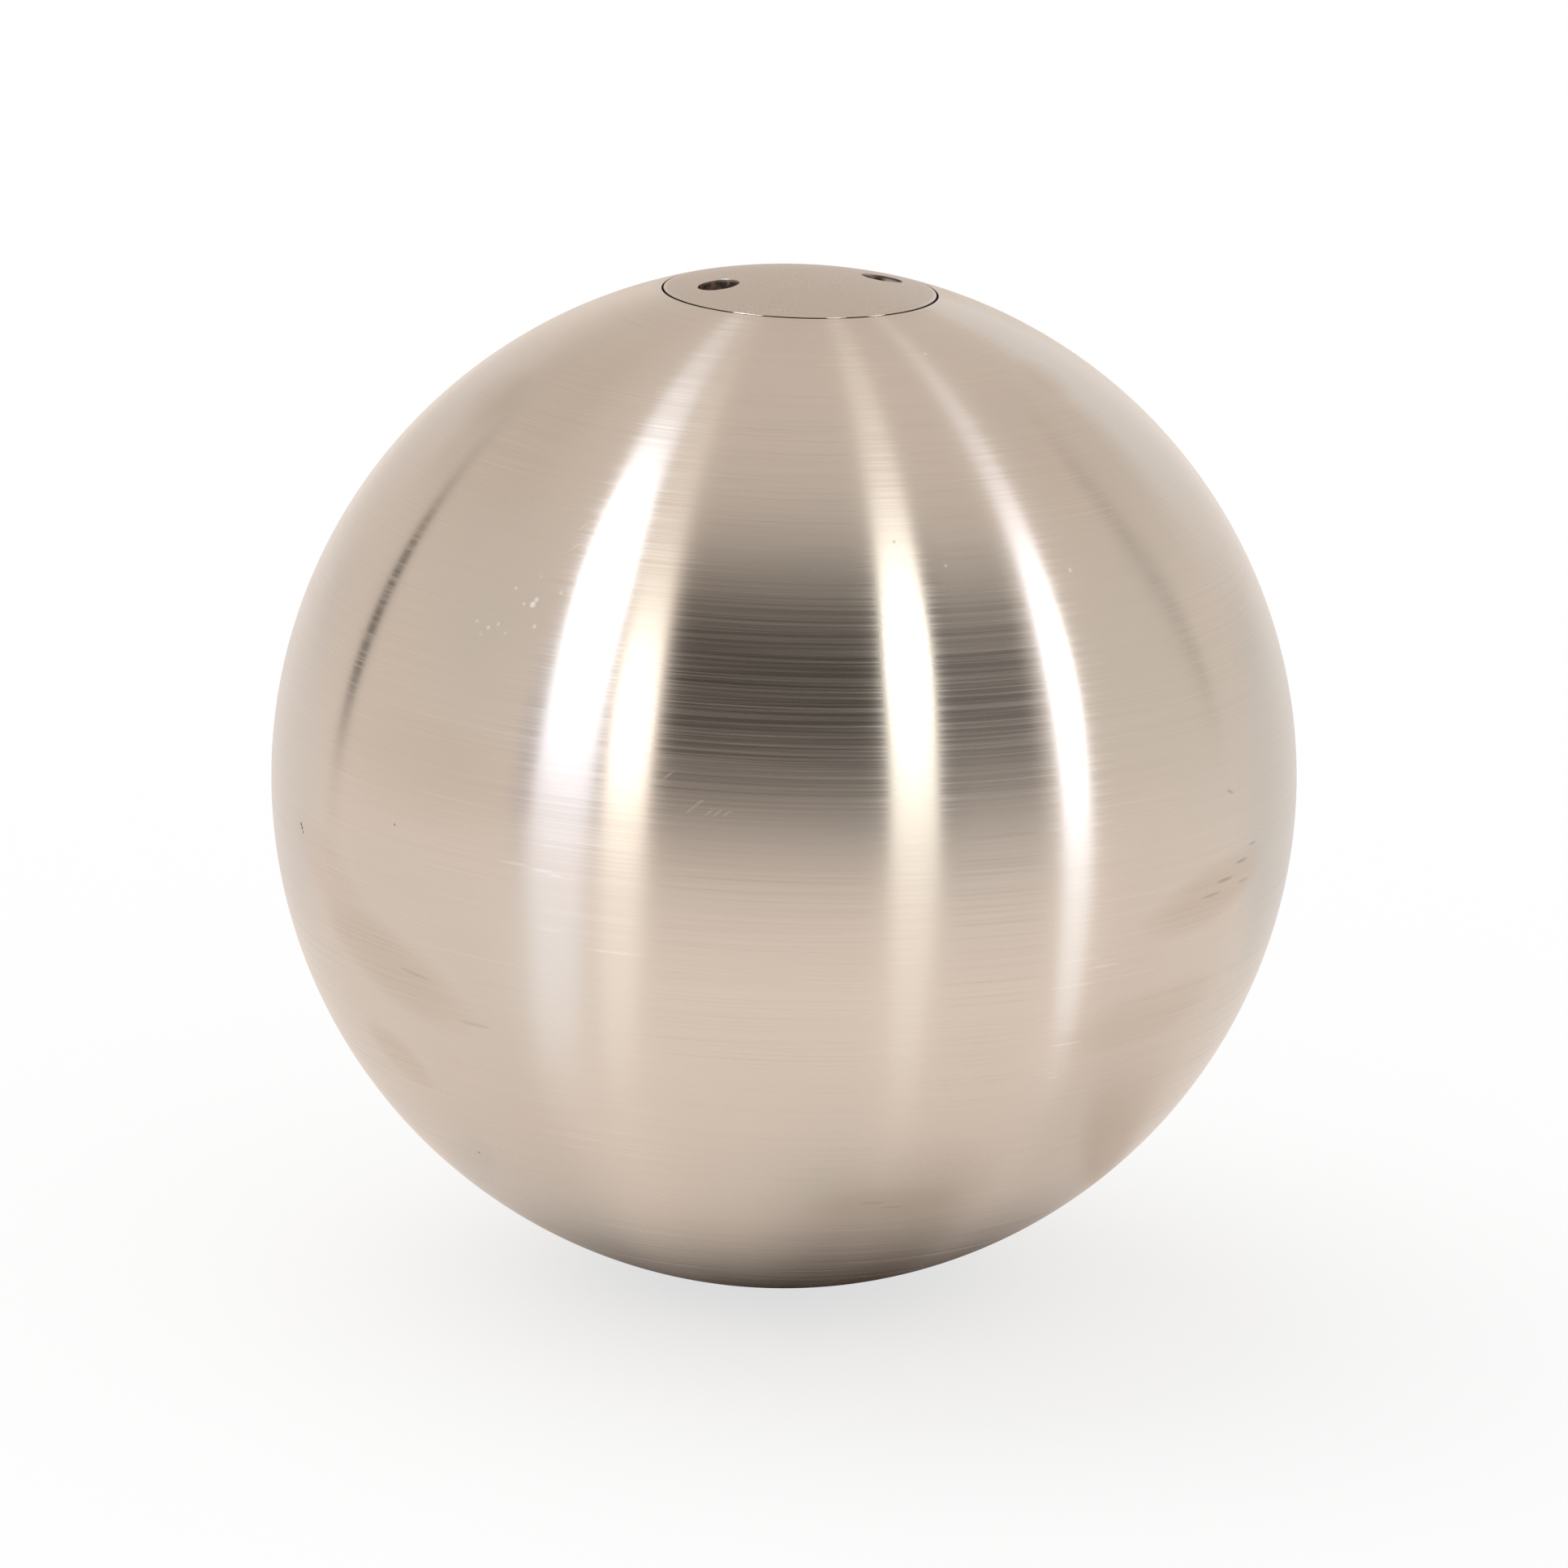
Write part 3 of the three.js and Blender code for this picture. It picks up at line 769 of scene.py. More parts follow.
class Nodes:
    """Makes and joins the nodes of one node tree."""

    def __init__(self, tree):
        self.tree = tree

    def add(self, kind, inputs=None, **settings):
        """A node with its settings and inputs."""
        node = self.tree.nodes.new(kind)
        for name, value in settings.items():
            setattr(node, name, value)
        for socket, value in (inputs or {}).items():
            self.feed(node.inputs[socket], value)
        return node

    def feed(self, socket, value):
        """Links another node's output to a socket, or sets its plain value."""
        if isinstance(value, bpy.types.NodeSocket):
            self.tree.links.new(value, socket)
        else:
            socket.default_value = value

    def maths(self, operation, *values):
        """One sum of one to three numbers."""
        return self.add("ShaderNodeMath", dict(enumerate(values)), operation=operation).outputs[0]

    def product(self, *values):
        """Several numbers multiplied."""
        total, *rest = values
        for value in rest:
            total = self.maths("MULTIPLY", value, total)
        return total

    def greatest(self, *values):
        """The greatest of several numbers."""
        total, *rest = values
        for value in rest:
            total = self.maths("MAXIMUM", value, total)
        return total

    def vector_maths(self, operation, *vectors):
        """One sum of vectors, which gives a number for a distance and otherwise a vector."""
        outputs = self.add("ShaderNodeVectorMath", dict(enumerate(vectors)), operation=operation).outputs
        return outputs["Value" if operation == "DISTANCE" else "Vector"]

    def azimuth(self, x, y):
        """The angle about the Z axis, counted to the right from the camera's side."""
        return self.maths("ARCTAN2", x, self.maths("MULTIPLY", y, -1.0))

    def from_axis(self, x, y):
        """The distance from the Z axis."""
        squares = self.maths("MULTIPLY", x, x), self.maths("MULTIPLY", y, y)
        return self.maths("SQRT", self.maths("ADD", *squares))

    def between(self, value, low, high, first=0.0, last=1.0):
        """Goes softly from first to last as a value goes from low to high."""
        inputs = dict(enumerate((value, low, high, first, last)))
        return self.add("ShaderNodeMapRange", inputs, interpolation_type="SMOOTHSTEP").outputs[0]

    def window(self, value, low, high, blur):
        """Is 1 from low to high, and fades over the blur at both ends. Its limits are in degrees."""
        low, high, blur = (math.radians(angle) for angle in (low, high, blur))
        rise = self.between(value, low - blur, low + blur)
        return self.product(rise, self.between(value, high - blur, high + blur, 1, 0))

    def mixed(self, share, first, second, blend="MIX"):
        """A colour between two others."""
        inputs = {0: share, MIX_FIRST: first, MIX_SECOND: second}
        return self.add("ShaderNodeMix", inputs, data_type="RGBA", blend_type=blend).outputs[MIX_RESULT]

    def vector(self, *parts):
        """A vector from three numbers."""
        return self.add("ShaderNodeCombineXYZ", dict(enumerate(parts))).outputs[0]

    def parts(self, vector):
        """The three numbers of a vector."""
        return self.add("ShaderNodeSeparateXYZ", {0: vector}).outputs[:]

    def noise(self, place, scale=1.0, detail=2.0, roughness=0.5, distortion=0.0):
        """Soft noise from 0 to 1 about a middle of 0.5."""
        inputs = {
            "Vector": place,
            "Scale": scale,
            "Detail": detail,
            "Roughness": roughness,
            "Distortion": distortion,
        }
        return self.add("ShaderNodeTexNoise", inputs).outputs["Fac"]

    def bump(self, height, depth, normal=None):
        """A bumped normal from a height of 0 to 1 that stands for a depth in metres."""
        node = self.add("ShaderNodeBump", {"Height": height, "Distance": depth, "Strength": 1.0})
        if normal:
            self.feed(node.inputs["Normal"], normal)
        return node.outputs[0]


class Finish(Nodes):
    """A material of one shader, with the place on its piece for its patterns."""

    def __init__(self, name):
        self.material = bpy.data.materials.new(name)
        self.material.use_nodes = True
        super().__init__(self.material.node_tree)
        self.shader = self.tree.nodes["Principled BSDF"]
        self.place = self.add("ShaderNodeTexCoord").outputs["Object"]

    def shade(self, **inputs):
        """Feeds the shader's sockets, named in lower case with underscores."""
        for name, value in inputs.items():
            socket = name.replace("_", " ").title().replace("Ior", "IOR")
            self.feed(self.shader.inputs[socket], value)
        return self.material


def scaled(colour, factor):
    """A colour made lighter or darker, with its alpha."""
    return (*(min(part * factor, 1) for part in colour), 1)


def turned_place(finish, around, along):
    """A place for lines round the Z axis: stretched round it, and close together along the meridian."""
    x, y, z = finish.parts(finish.place)
    radius = finish.maths("MAXIMUM", finish.from_axis(x, y), AXIS_RADIUS)
    latitude = finish.maths("ARCTAN2", z, radius)
    return finish.vector(
        finish.maths("MULTIPLY", finish.maths("DIVIDE", x, radius), around),
        finish.maths("MULTIPLY", finish.maths("DIVIDE", y, radius), around),
        finish.maths("MULTIPLY", latitude, along),
    )


def spots(finish, places):
    """One mask of small round spots on the ball, each with its own strength."""
    masks = []
    for azimuth, latitude, radius, strength in places:
        centre = direction(math.radians(azimuth), math.radians(latitude)) * BALL_RADIUS
        distance = finish.vector_maths("DISTANCE", finish.place, centre)
        reach = BALL_RADIUS * math.radians(radius)
        masks.append(finish.between(distance, reach * SPOT_CORE, reach, strength, 0))
    return finish.greatest(*masks)


def smear(finish, azimuth, latitude, place):
    """A soft oval mask on the ball about an azimuth and latitude, which may drift down to the right."""
    *sizes, drift = place
    middle_azimuth, middle_latitude, half_width, half_height = (math.radians(size) for size in sizes)
    beside = finish.maths("SUBTRACT", azimuth, middle_azimuth)
    above = finish.maths("SUBTRACT", latitude, middle_latitude)
    if drift:
        above = finish.maths("MULTIPLY_ADD", beside, drift, above)
    across = finish.maths("DIVIDE", beside, half_width)
    up = finish.maths("DIVIDE", above, half_height)
    square = finish.maths("MULTIPLY_ADD", across, across, finish.maths("MULTIPLY", up, up))
    return finish.between(square, 0.0, SMEAR_FADE, 1, 0)


def smears(finish, azimuth, latitude, places):
    """One mask of several smears, each with its own strength."""
    return finish.greatest(
        *(finish.product(smear(finish, azimuth, latitude, place), strength) for *place, strength in places)
    )


def marks_of_use(finish, azimuth, latitude):
    """Two masks of the marks on the ball: the bright and the dark ones."""
    strokes = finish.greatest(*(smear(finish, azimuth, latitude, place) for place in STROKES))
    scratches = smears(finish, azimuth, latitude, SCRATCHES)
    bright = finish.greatest(
        spots(finish, BRIGHT_SPOTS),
        finish.product(strokes, STROKE_STRENGTH),
        finish.product(scratches, SCRATCH_STRENGTH),
    )
    dark = finish.greatest(spots(finish, DARK_SPOTS), smears(finish, azimuth, latitude, STREAKS_OF_DIRT))
    return bright, dark


def brushed_steel(name, colour):
    """Stainless steel brushed round the Z axis, with marks of use and painted shade in the seat round the
    plug's head. Its reflections follow the meridians.
    """
    finish = Finish(name)
    x, y, z = finish.parts(finish.place)
    azimuth = finish.azimuth(x, y)
    latitude = finish.maths("ARCSINE", finish.maths("DIVIDE", z, BALL_RADIUS))
    hairs = finish.noise(turned_place(finish, *HAIRS), detail=2, roughness=0.6)
    lines = finish.noise(turned_place(finish, *LINES), detail=3, roughness=0.6)
    bands = finish.noise(turned_place(finish, *BANDS), detail=2)
    clouds = finish.noise(finish.place, scale=45, detail=3)
    drifts = finish.noise(finish.place, scale=22, detail=2)
    tint = finish.mixed(finish.between(lines, 0.35, 0.65), scaled(colour, 0.97), scaled(colour, 1.015))
    tint = finish.mixed(finish.between(hairs, 0.55, 0.75), tint, scaled(colour, 1.07))
    tint = finish.mixed(finish.between(clouds, 0.35, 0.75), tint, scaled(colour, 0.975))
    tint = finish.mixed(finish.between(drifts, 0.4, 0.65), tint, COOL_TINT, "MULTIPLY")
    brushed_off = finish.between(lines, 0.2, 0.8, 0.6, 1)
    smudged = finish.product(smears(finish, azimuth, latitude, SMUDGES), brushed_off)
    tint = finish.mixed(smudged, tint, SMUDGE_TINT, "MULTIPLY")
    bright, dark = marks_of_use(finish, azimuth, latitude)
    tint = finish.mixed(bright, tint, BRIGHT_MARK)
    tint = finish.mixed(dark, tint, DARK_MARK)
    from_centre = finish.vector_maths("DISTANCE", finish.place, (0, 0, 0))
    # Painted shade in the gap round the plug's head, from just below the ball's surface down the seat's wall
    seat_shade = finish.between(from_centre, *SEAT_SHADE_TOP, SEAT_SHADE_STRENGTH, 0)
    seat_shade = finish.product(seat_shade, finish.between(from_centre, *SEAT_SHADE_END))
    tint = finish.mixed(seat_shade, tint, CREVICE_SHADE)
    rough = finish.between(bands, 0.3, 0.7, 0.2, 0.215)
    rough = finish.maths("ADD", finish.between(lines, 0.38, 0.78, 0, 0.08), rough)
    return finish.shade(
        base_color=tint,
        metallic=finish.maths("SUBTRACT", 1.0, bright),
        roughness=finish.maths("MULTIPLY_ADD", bright, 0.15, rough),
        anisotropic=1.0,
        anisotropic_rotation=0.25,
        tangent=finish.add("ShaderNodeTangent", direction_type="RADIAL", axis="Z").outputs[0],
    )


def rim_painted_shade(finish, azimuth, radius, depth):
    """A mask of painted shade in the gap round the plug's head. It starts a little lower where the lamps
    glint on the rim.
    """
    glinting = finish.greatest(*(finish.window(azimuth, left, right, RIM_GLINT_BLUR) for left, right in RIM_GLINT_GAPS))
    start = finish.maths("MULTIPLY_ADD", glinting, RIM_GLINT_DROP, RIM_SHADE_TOP)
    rags = finish.noise(finish.place, scale=420, detail=3)
    ragged = finish.maths("MULTIPLY_ADD", rags, RIM_SHADE_RAGS, depth)
    return finish.product(
        finish.maths("GREATER_THAN", depth, start),
        finish.between(ragged, *RIM_SHADE_END, 1, 0),
        finish.between(radius, *HEAD_SIDE),
        RIM_SHADE_STRENGTH,
    )


def turned_steel(name, colour):
    """The plug's satin steel: a fine grain, smoother at the rim, with dust and painted shade in the holes,
    painted light in one hole and painted shade round the rim.
    """
    plug = bpy.context.scene.shot_plug
    finish = Finish(name)
    x, y, z = finish.parts(finish.place)
    radius = finish.from_axis(x, y)
    crown_centre = (0, 0, CROWN_TOP_Z - plug.crown_radius)
    from_centre = finish.vector_maths("DISTANCE", finish.place, crown_centre)
    depth = finish.maths("SUBTRACT", plug.crown_radius, from_centre)
    grain = finish.noise(finish.place, scale=3200, detail=3, roughness=0.7)
    rings = finish.noise(turned_place(finish, *PLUG_RINGS), detail=2)
    clouds = finish.noise(finish.place, scale=160, detail=3)
    specks = finish.noise(finish.place, scale=900, detail=3)
    tint = finish.mixed(finish.between(grain, 0.3, 0.7), scaled(colour, 0.82), scaled(colour, 1.06))
    tint = finish.mixed(finish.between(clouds, 0.35, 0.7), tint, scaled(colour, 0.94))
    in_head = finish.product(finish.between(radius, *HEAD_INSIDE, 1, 0), finish.between(z, *HEAD_ABOVE))
    # Dust in the spanner holes, mixed with painted shade that darkens their walls below the crown
    hole = finish.product(finish.between(depth, *HOLE_DUST_AND_SHADE_DEPTH), in_head)
    # Painted light on one side of one spanner hole, where light falls in; it is less metallic there too
    pale = finish.product(
        finish.between(x, *HOLE_LIGHT_X),
        finish.between(y, *HOLE_LIGHT_Y),
        finish.between(depth, *HOLE_LIGHT_END, 1, 0),
        hole,
    )
    dust_and_shade = finish.mixed(finish.between(specks, 0.45, 0.62), CREVICE_SHADE, HOLE_DUST)
    dust_and_shade = finish.mixed(pale, dust_and_shade, HOLE_PAINTED_LIGHT)
    tint = finish.mixed(finish.product(hole, HOLE_DUST_AND_SHADE_STRENGTH), tint, dust_and_shade)
    # Painted shade in the gap round the head, held back where the lamps glint on the rim
    tint = finish.mixed(rim_painted_shade(finish, finish.azimuth(x, y), radius, depth), tint, CREVICE_SHADE)
    rough = finish.between(radius, *HEAD_EDGE, 0.36, 0.2)
    return finish.shade(
        base_color=tint,
        metallic=finish.maths("SUBTRACT", 1.0, finish.product(pale, 0.9)),
        roughness=finish.maths("MULTIPLY_ADD", hole, 0.2, rough),
        normal=finish.bump(grain, 0.0012 * MM, finish.bump(rings, 0.0008 * MM)),
    )


def ring_steel():
    """Plain steel, turned and left grey."""
    finish = Finish("ring_mild_steel")
    lines = finish.noise(turned_place(finish, *RING_LINES), detail=2)
    stain = finish.noise(finish.place, scale=70, detail=4)
    tint = finish.mixed(stain, (0.22, 0.21, 0.2, 1), (0.3, 0.285, 0.27, 1))
    return finish.shade(
        base_color=tint,
        metallic=1.0,
        roughness=finish.between(stain, 0.3, 0.7, 0.42, 0.55),
        normal=finish.bump(lines, 0.004 * MM),
    )


def ballast_resin():
    """Small lead shot that shows through a skin of dark resin."""
    finish = Finish("ballast_resin")
    cells = finish.add("ShaderNodeTexVoronoi", {"Vector": finish.place, "Scale": 420.0, "Randomness": 0.7})
    shot = finish.between(cells.outputs["Distance"], 0.15, 0.5, 1, 0)
    stain = finish.noise(finish.place, scale=90, detail=3)
    lead = finish.mixed(stain, (0.12, 0.122, 0.125, 1), (0.2, 0.2, 0.205, 1))
    return finish.shade(
        base_color=finish.mixed(shot, (0.045, 0.042, 0.038, 1), lead),
        metallic=0.0,
        roughness=finish.between(stain, 0.3, 0.7, 0.4, 0.6),
        normal=finish.bump(shot, 0.35 * MM),
    )


def pellet_lead():
    """Soft lead with a dull grey skin and bright rubbed spots."""
    finish = Finish("pellet_cast_lead")
    dull = finish.noise(finish.place, scale=260, detail=4, roughness=0.6)
    pits = finish.noise(finish.place, scale=1500, detail=2)
    tint = finish.mixed(finish.between(dull, 0.35, 0.65), (0.13, 0.135, 0.14, 1), (0.26, 0.265, 0.275, 1))
    return finish.shade(
        base_color=tint,
        metallic=1.0,
        roughness=finish.between(dull, 0.3, 0.7, 0.62, 0.42),
        normal=finish.bump(finish.maths("ADD", pits, dull), 0.03 * MM),
    )


def wool_felt(colour):
    """Pressed wool: fine tangled fibres and a soft bloom."""
    finish = Finish("pad_wool_felt")
    fibres = finish.noise(finish.place, scale=2600, detail=4, roughness=0.7, distortion=1.5)
    clumps = finish.noise(finish.place, scale=420, detail=3)
    tint = finish.mixed(clumps, scaled(colour, 0.75), scaled(colour, 1.2))
    tint = finish.mixed(finish.between(fibres, 0.35, 0.7), tint, scaled(colour, 1.45))
    return finish.shade(
        base_color=tint,
        roughness=0.95,
        sheen_weight=0.3,
        sheen_roughness=0.5,
        normal=finish.bump(finish.maths("ADD", fibres, clumps), 0.12 * MM),
    )


def washer_rubber(colour):
    """Black rubber with a faint bloom."""
    finish = Finish("washer_black_rubber")
    bloom = finish.noise(finish.place, scale=180, detail=4)
    grain = finish.noise(finish.place, scale=2200, detail=2)
    return finish.shade(
        base_color=finish.mixed(bloom, scaled(colour, 0.7), scaled(colour, 1.6)),
        roughness=finish.between(bloom, 0.3, 0.7, 0.5, 0.68),
        specular_ior_level=0.4,
        normal=finish.bump(grain, 0.01 * MM),
    )


# Studio


def direction(azimuth, elevation):
    """The direction at an azimuth, counted to the right from the camera's side, and an elevation."""
    level = math.cos(elevation)
    return Vector((math.sin(azimuth) * level, -math.cos(azimuth) * level, math.sin(elevation)))


def steel_view(nodes, towards):
    """The azimuth and latitude at which the ball shows, in the reference view, what lies in a direction."""
    view = direction(0, bpy.context.scene.shot_studio.elevation)
    halfway = nodes.vector_maths("ADD", nodes.vector_maths("NORMALIZE", towards), view)
    x, y, z = nodes.parts(nodes.vector_maths("NORMALIZE", halfway))
    return nodes.azimuth(x, y), nodes.maths("ARCSINE", z)


def patched(nodes, colour, azimuth, latitude, patch):
    """A colour with one soft-edged patch over it."""
    left, right, lean, bottom, top, side_blur, end_blur, tone = patch
    upright = nodes.maths("SUBTRACT", azimuth, nodes.product(latitude, lean)) if lean else azimuth
    share = nodes.product(
        nodes.window(upright, left, right, side_blur), nodes.window(latitude, bottom, top, end_blur)
    )
    return nodes.mixed(share, colour, (*tone, 1))


def floor_in_steel(nodes, place):
    """The floor's colour as the steel shows it: its patches of painted light and shade, a dimmer sector of
    painted shadow and the ball's own painted shadow.
    """
    studio = bpy.context.scene.shot_studio
    plain = (*studio.floor_in_steel, 1)
    colour = plain
    for seen_from, patch in FLOOR_PATCHES:
        meridian = (patch[0] + patch[1]) / 2
        spot = direction(math.radians(meridian), math.radians(seen_from)) * BALL_RADIUS
        towards = nodes.vector_maths("SUBTRACT", place, spot)
        colour = patched(nodes, colour, *steel_view(nodes, towards), patch)
    x, y, _ = nodes.parts(place)
    within = nodes.between(nodes.maths("ABSOLUTE", x), *BEHIND_WIDTH, 1, 0)
    colour = nodes.mixed(nodes.product(nodes.between(y, *BEHIND_START), within), colour, plain)
    # Painted shadow: a dimmer sector beside the ball and a dark patch under it
    azimuth = nodes.azimuth(x, y)
    distance = nodes.vector_maths("DISTANCE", place, SHADOW_CENTRE)
    dim = nodes.product(
        nodes.between(azimuth, *DIM_SIDE),
        nodes.between(azimuth, *DIM_END, 1, 0),
        nodes.between(distance, *DIM_REACH, 1, 0),
    )
    colour = nodes.mixed(dim, colour, DIM_TINT, "MULTIPLY")
    return nodes.mixed(nodes.between(distance, *SHADOW_REACH), (*studio.floor_painted_shadow, 1), colour)


def studio_floor():
    """The pale floor. Part of its white is its own, so that the shadow on it stays light."""
    studio = bpy.context.scene.shot_studio
    bm = bmesh.new()
    bmesh.ops.create_grid(bm, x_segments=1, y_segments=1, size=studio.floor_size / 2)
    bmesh.ops.translate(bm, verts=bm.verts, vec=(0, 0, -BALL_RADIUS))
    material = bpy.data.materials.new("floor_paper")
    material.use_nodes = True
    tree = material.node_tree
    tree.nodes.remove(tree.nodes["Principled BSDF"])
    nodes = Nodes(tree)
    # What the steel sees of the floor carries painted light and shade
    in_steel = floor_in_steel(nodes, nodes.add("ShaderNodeTexCoord").outputs["Object"])
    path = nodes.add("ShaderNodeLightPath").outputs
    tint = nodes.mixed(path["Is Glossy Ray"], (*studio.floor, 1), in_steel)
    paper = nodes.add("ShaderNodeBsdfDiffuse", {"Color": tint}).outputs[0]
    white = nodes.mixed(path["Is Glossy Ray"], (1, 1, 1, 1), in_steel)
    glow = nodes.add("ShaderNodeEmission", {"Color": white, "Strength": 1.0}).outputs[0]
    glow_in_steel = nodes.product(path["Is Glossy Ray"], studio.floor_glow_in_steel)
    share = nodes.maths("MULTIPLY_ADD", path["Is Camera Ray"], studio.floor_glow, glow_in_steel)
    surface = nodes.add("ShaderNodeMixShader", {0: share, 1: paper, 2: glow}).outputs[0]
    nodes.feed(tree.nodes["Material Output"].inputs["Surface"], surface)
    new_piece("studio_floor", bm, material)


def studio_world():
    """White for the camera, a plain level for the light, and warm walls with patches for the steel."""
    studio = bpy.context.scene.shot_studio
    world = bpy.data.worlds.new("studio")
    world.use_nodes = True
    world.cycles.sampling_method = "NONE"
    bpy.context.scene.world = world
    nodes = Nodes(world.node_tree)
    world.node_tree.nodes.remove(world.node_tree.nodes["Background"])
    azimuth, latitude = steel_view(nodes, nodes.add("ShaderNodeTexCoord").outputs["Generated"])
    colour = (*studio.wall, 1)
    for patch in WALL_PATCHES:
        colour = patched(nodes, colour, azimuth, latitude, patch)
    path = nodes.add("ShaderNodeLightPath").outputs
    steel_sees = nodes.add("ShaderNodeBackground", {"Color": colour, "Strength": 1.0}).outputs[0]
    sky = {"Color": (*studio.sky, 1), "Strength": studio.sky_level}
    plain = nodes.add("ShaderNodeBackground", sky).outputs[0]
    white = nodes.add("ShaderNodeBackground", {"Color": (1, 1, 1, 1), "Strength": 1.0}).outputs[0]
    shown = nodes.greatest(path["Is Camera Ray"], path["Is Transmission Ray"])
    light = nodes.add("ShaderNodeMixShader", {0: path["Is Glossy Ray"], 1: plain, 2: steel_sees}).outputs[0]
    surface = nodes.add("ShaderNodeMixShader", {0: shown, 1: light, 2: white}).outputs[0]
    nodes.feed(world.node_tree.nodes["World Output"].inputs["Surface"], surface)


def studio_lamp(name, azimuth, elevation, width, height, radiance, colour):
    """A rectangular lamp for the steel alone, which faces the ball. Its places and sizes are in degrees."""
    azimuth, elevation, width, height = map(math.radians, (azimuth, elevation, width, height))
    lamp = bpy.data.lights.new(name, "AREA")
    lamp.shape = "RECTANGLE"
    lamp.size = 2 * LAMP_DISTANCE * math.tan(width / 2)
    lamp.size_y = 2 * LAMP_DISTANCE * math.tan(height / 2)
    lamp.energy = radiance * math.pi * lamp.size * lamp.size_y
    lamp.color = colour
    stand = bpy.data.objects.new(name, lamp)
    towards = direction(azimuth, elevation)
    stand.location = towards * LAMP_DISTANCE
    stand.rotation_euler = (-towards).to_track_quat("-Z", "Y").to_euler()
    stand.visible_camera = False
    stand.visible_diffuse = False
    bpy.context.scene.collection.objects.link(stand)


def soft_key():
    """A broad sun that only lights matt surfaces and gives the floor its shadow."""
    studio = bpy.context.scene.shot_studio
    sun = bpy.data.lights.new("soft_key", "SUN")
    sun.angle = KEY_SPREAD
    sun.energy = studio.key_level
    stand = bpy.data.objects.new("soft_key", sun)
    stand.rotation_euler = (-direction(*KEY_DIRECTION)).to_track_quat("-Z", "Y").to_euler()
    stand.visible_camera = False
    stand.visible_glossy = False
    bpy.context.scene.collection.objects.link(stand)


def studio_camera():
    """The camera at the reference view's place, turned a little about its own line of sight."""
    studio = bpy.context.scene.shot_studio
    camera = bpy.data.cameras.new("camera")
    camera.lens = studio.lens
    camera.sensor_width = 36
    camera.shift_y = studio.framing
    camera.clip_start = 0.01
    stand = bpy.data.objects.new("camera", camera)
    towards = direction(0, studio.elevation)
    stand.location = towards * studio.distance
    level = (-towards).to_track_quat("-Z", "Y").to_matrix()
    stand.rotation_euler = (level @ Matrix.Rotation(studio.lean, 3, "Z")).to_euler()
    bpy.context.scene.collection.objects.link(stand)
    bpy.context.scene.camera = stand


# Operators and panel


def settle(piece, body, slot, *nodes):
    """Ties a piece to its body and hides the solids that it stands for. Its slot is not used."""
    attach(piece, body)
    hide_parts(*nodes)


class AddShell(bpy.types.Operator):
    """Adds the welded and brushed ball"""

    bl_idname = "shot.add_shell"
    bl_label = "Welded Shell"

    def execute(self, context):
        steel = brushed_steel("shell_brushed_steel", context.scene.shot_shell.steel)
        piece = new_piece("shell_welded", welded_shell(), steel)
        settle(piece, "shot_body", "shell_steel", "upper_shell", "lower_shell")
        return {"FINISHED"}


class AddPlug(bpy.types.Operator):
    """Adds the screw plug with its spanner holes and thread"""

    bl_idname = "shot.add_plug"
    bl_label = "Screw Plug"

    def execute(self, context):
        steel = turned_steel("plug_turned_steel", context.scene.shot_plug.steel)
        piece = new_piece("plug_machined", screw_plug(), steel)
        settle(piece, "plug", "plug_steel", "screw_plug")
        return {"FINISHED"}


class AddWasher(bpy.types.Operator):
    """Adds the sealing washer under the plug's head"""

    bl_idname = "shot.add_washer"
    bl_label = "Sealing Washer"

    def execute(self, context):
        rubber = washer_rubber(context.scene.shot_inside.rubber)
        piece = new_piece("washer_moulded", sealing_washer(), rubber)
        settle(piece, "gasket", "gasket_rubber", "plug_gasket")
        return {"FINISHED"}


class AddRing(bpy.types.Operator):
    """Adds the backing ring behind the weld"""

    bl_idname = "shot.add_ring"
    bl_label = "Backing Ring"

    def execute(self, context):
        piece = new_piece("ring_turned", backing_ring(), ring_steel())
        settle(piece, "shot_body", "ring_steel", "backing_ring")
        return {"FINISHED"}


class AddFilling(bpy.types.Operator):
    """Adds the filling of lead shot in resin"""

    bl_idname = "shot.add_filling"
    bl_label = "Filling"

    def execute(self, context):
        piece = new_piece("filling_poured", filling(), ballast_resin())
        settle(piece, "shot_body", "ballast", "ballast_core")
        return {"FINISHED"}


class AddPad(bpy.types.Operator):
    """Adds the felt pad between the pellets and the plug"""

    bl_idname = "shot.add_pad"
    bl_label = "Felt Pad"

    def execute(self, context):
        piece = new_piece("pad_felt_disc", felt_pad(), wool_felt(context.scene.shot_inside.felt))
        settle(piece, "shot_body", "pad_felt", "packing_pad")
        return {"FINISHED"}


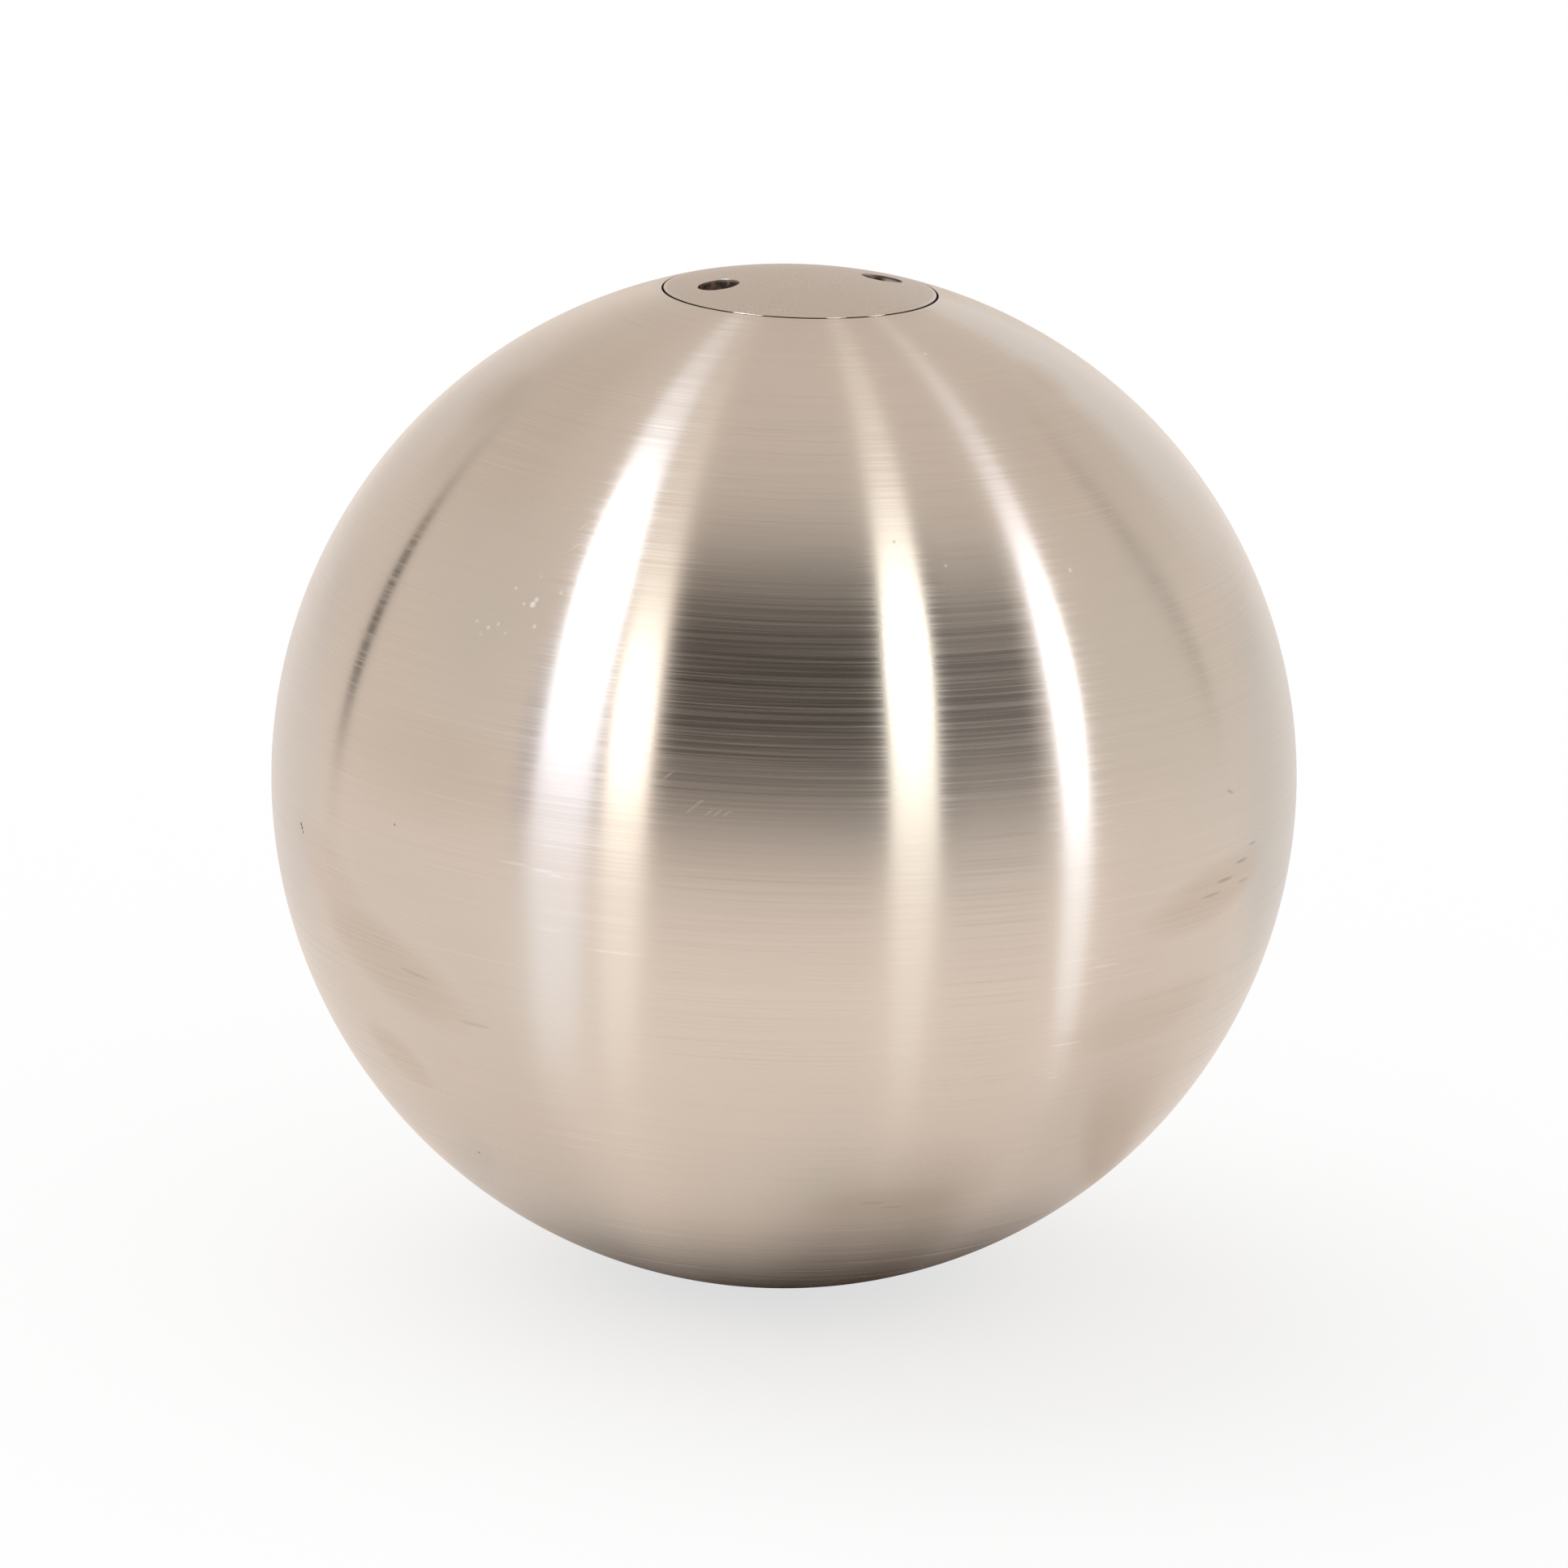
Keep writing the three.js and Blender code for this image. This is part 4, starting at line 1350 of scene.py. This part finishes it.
class AddPellets(bpy.types.Operator):
    """Adds the loose lead pellets that trim the weight"""

    bl_idname = "shot.add_pellets"
    bl_label = "Lead Pellets"

    def execute(self, context):
        lead = pellet_lead()
        for number, name in enumerate(PELLETS):
            piece = new_piece(name.replace("pellet", "cast_pellet"), cast_pellet(name, number), lead)
            settle(piece, "shot_body", "pellet_lead", name)
        return {"FINISHED"}


class AddStudio(bpy.types.Operator):
    """Adds the floor, the light and the camera"""

    bl_idname = "shot.add_studio"
    bl_label = "Studio"

    def execute(self, context):
        context.scene.view_settings.view_transform = "Standard"
        studio_floor()
        studio_world()
        for lamp in STREAK_LAMPS:
            studio_lamp(*lamp)
        soft_key()
        studio_camera()
        return {"FINISHED"}


STEPS = (AddShell, AddPlug, AddWasher, AddRing, AddFilling, AddPad, AddPellets, AddStudio)
SETTINGS = {
    "shot_shell": ShellSettings,
    "shot_plug": PlugSettings,
    "shot_inside": InsideSettings,
    "shot_studio": StudioSettings,
}


class ShotPanel(bpy.types.Panel):
    """Lists the steps that build the shot"""

    bl_idname = "VIEW3D_PT_shot"
    bl_label = "Competition Shot"
    bl_space_type = "VIEW_3D"
    bl_region_type = "UI"
    bl_category = "Shot"

    def draw(self, context):
        for step in STEPS:
            self.layout.operator(step.bl_idname)


def register():
    for group in SETTINGS.values():
        bpy.utils.register_class(group)
    for name, group in SETTINGS.items():
        setattr(bpy.types.Scene, name, PointerProperty(type=group))
    for step in (*STEPS, ShotPanel):
        bpy.utils.register_class(step)


def unregister():
    for step in (ShotPanel, *reversed(STEPS)):
        bpy.utils.unregister_class(step)
    for name in SETTINGS:
        delattr(bpy.types.Scene, name)
    for group in reversed(SETTINGS.values()):
        bpy.utils.unregister_class(group)


def main():
    """Builds the shot and the studio."""
    register()
    bpy.ops.shot.add_shell()
    bpy.ops.shot.add_plug()
    bpy.ops.shot.add_washer()
    bpy.ops.shot.add_ring()
    bpy.ops.shot.add_filling()
    bpy.ops.shot.add_pad()
    bpy.ops.shot.add_pellets()
    bpy.ops.shot.add_studio()


if __name__ == "__main__":
    main()
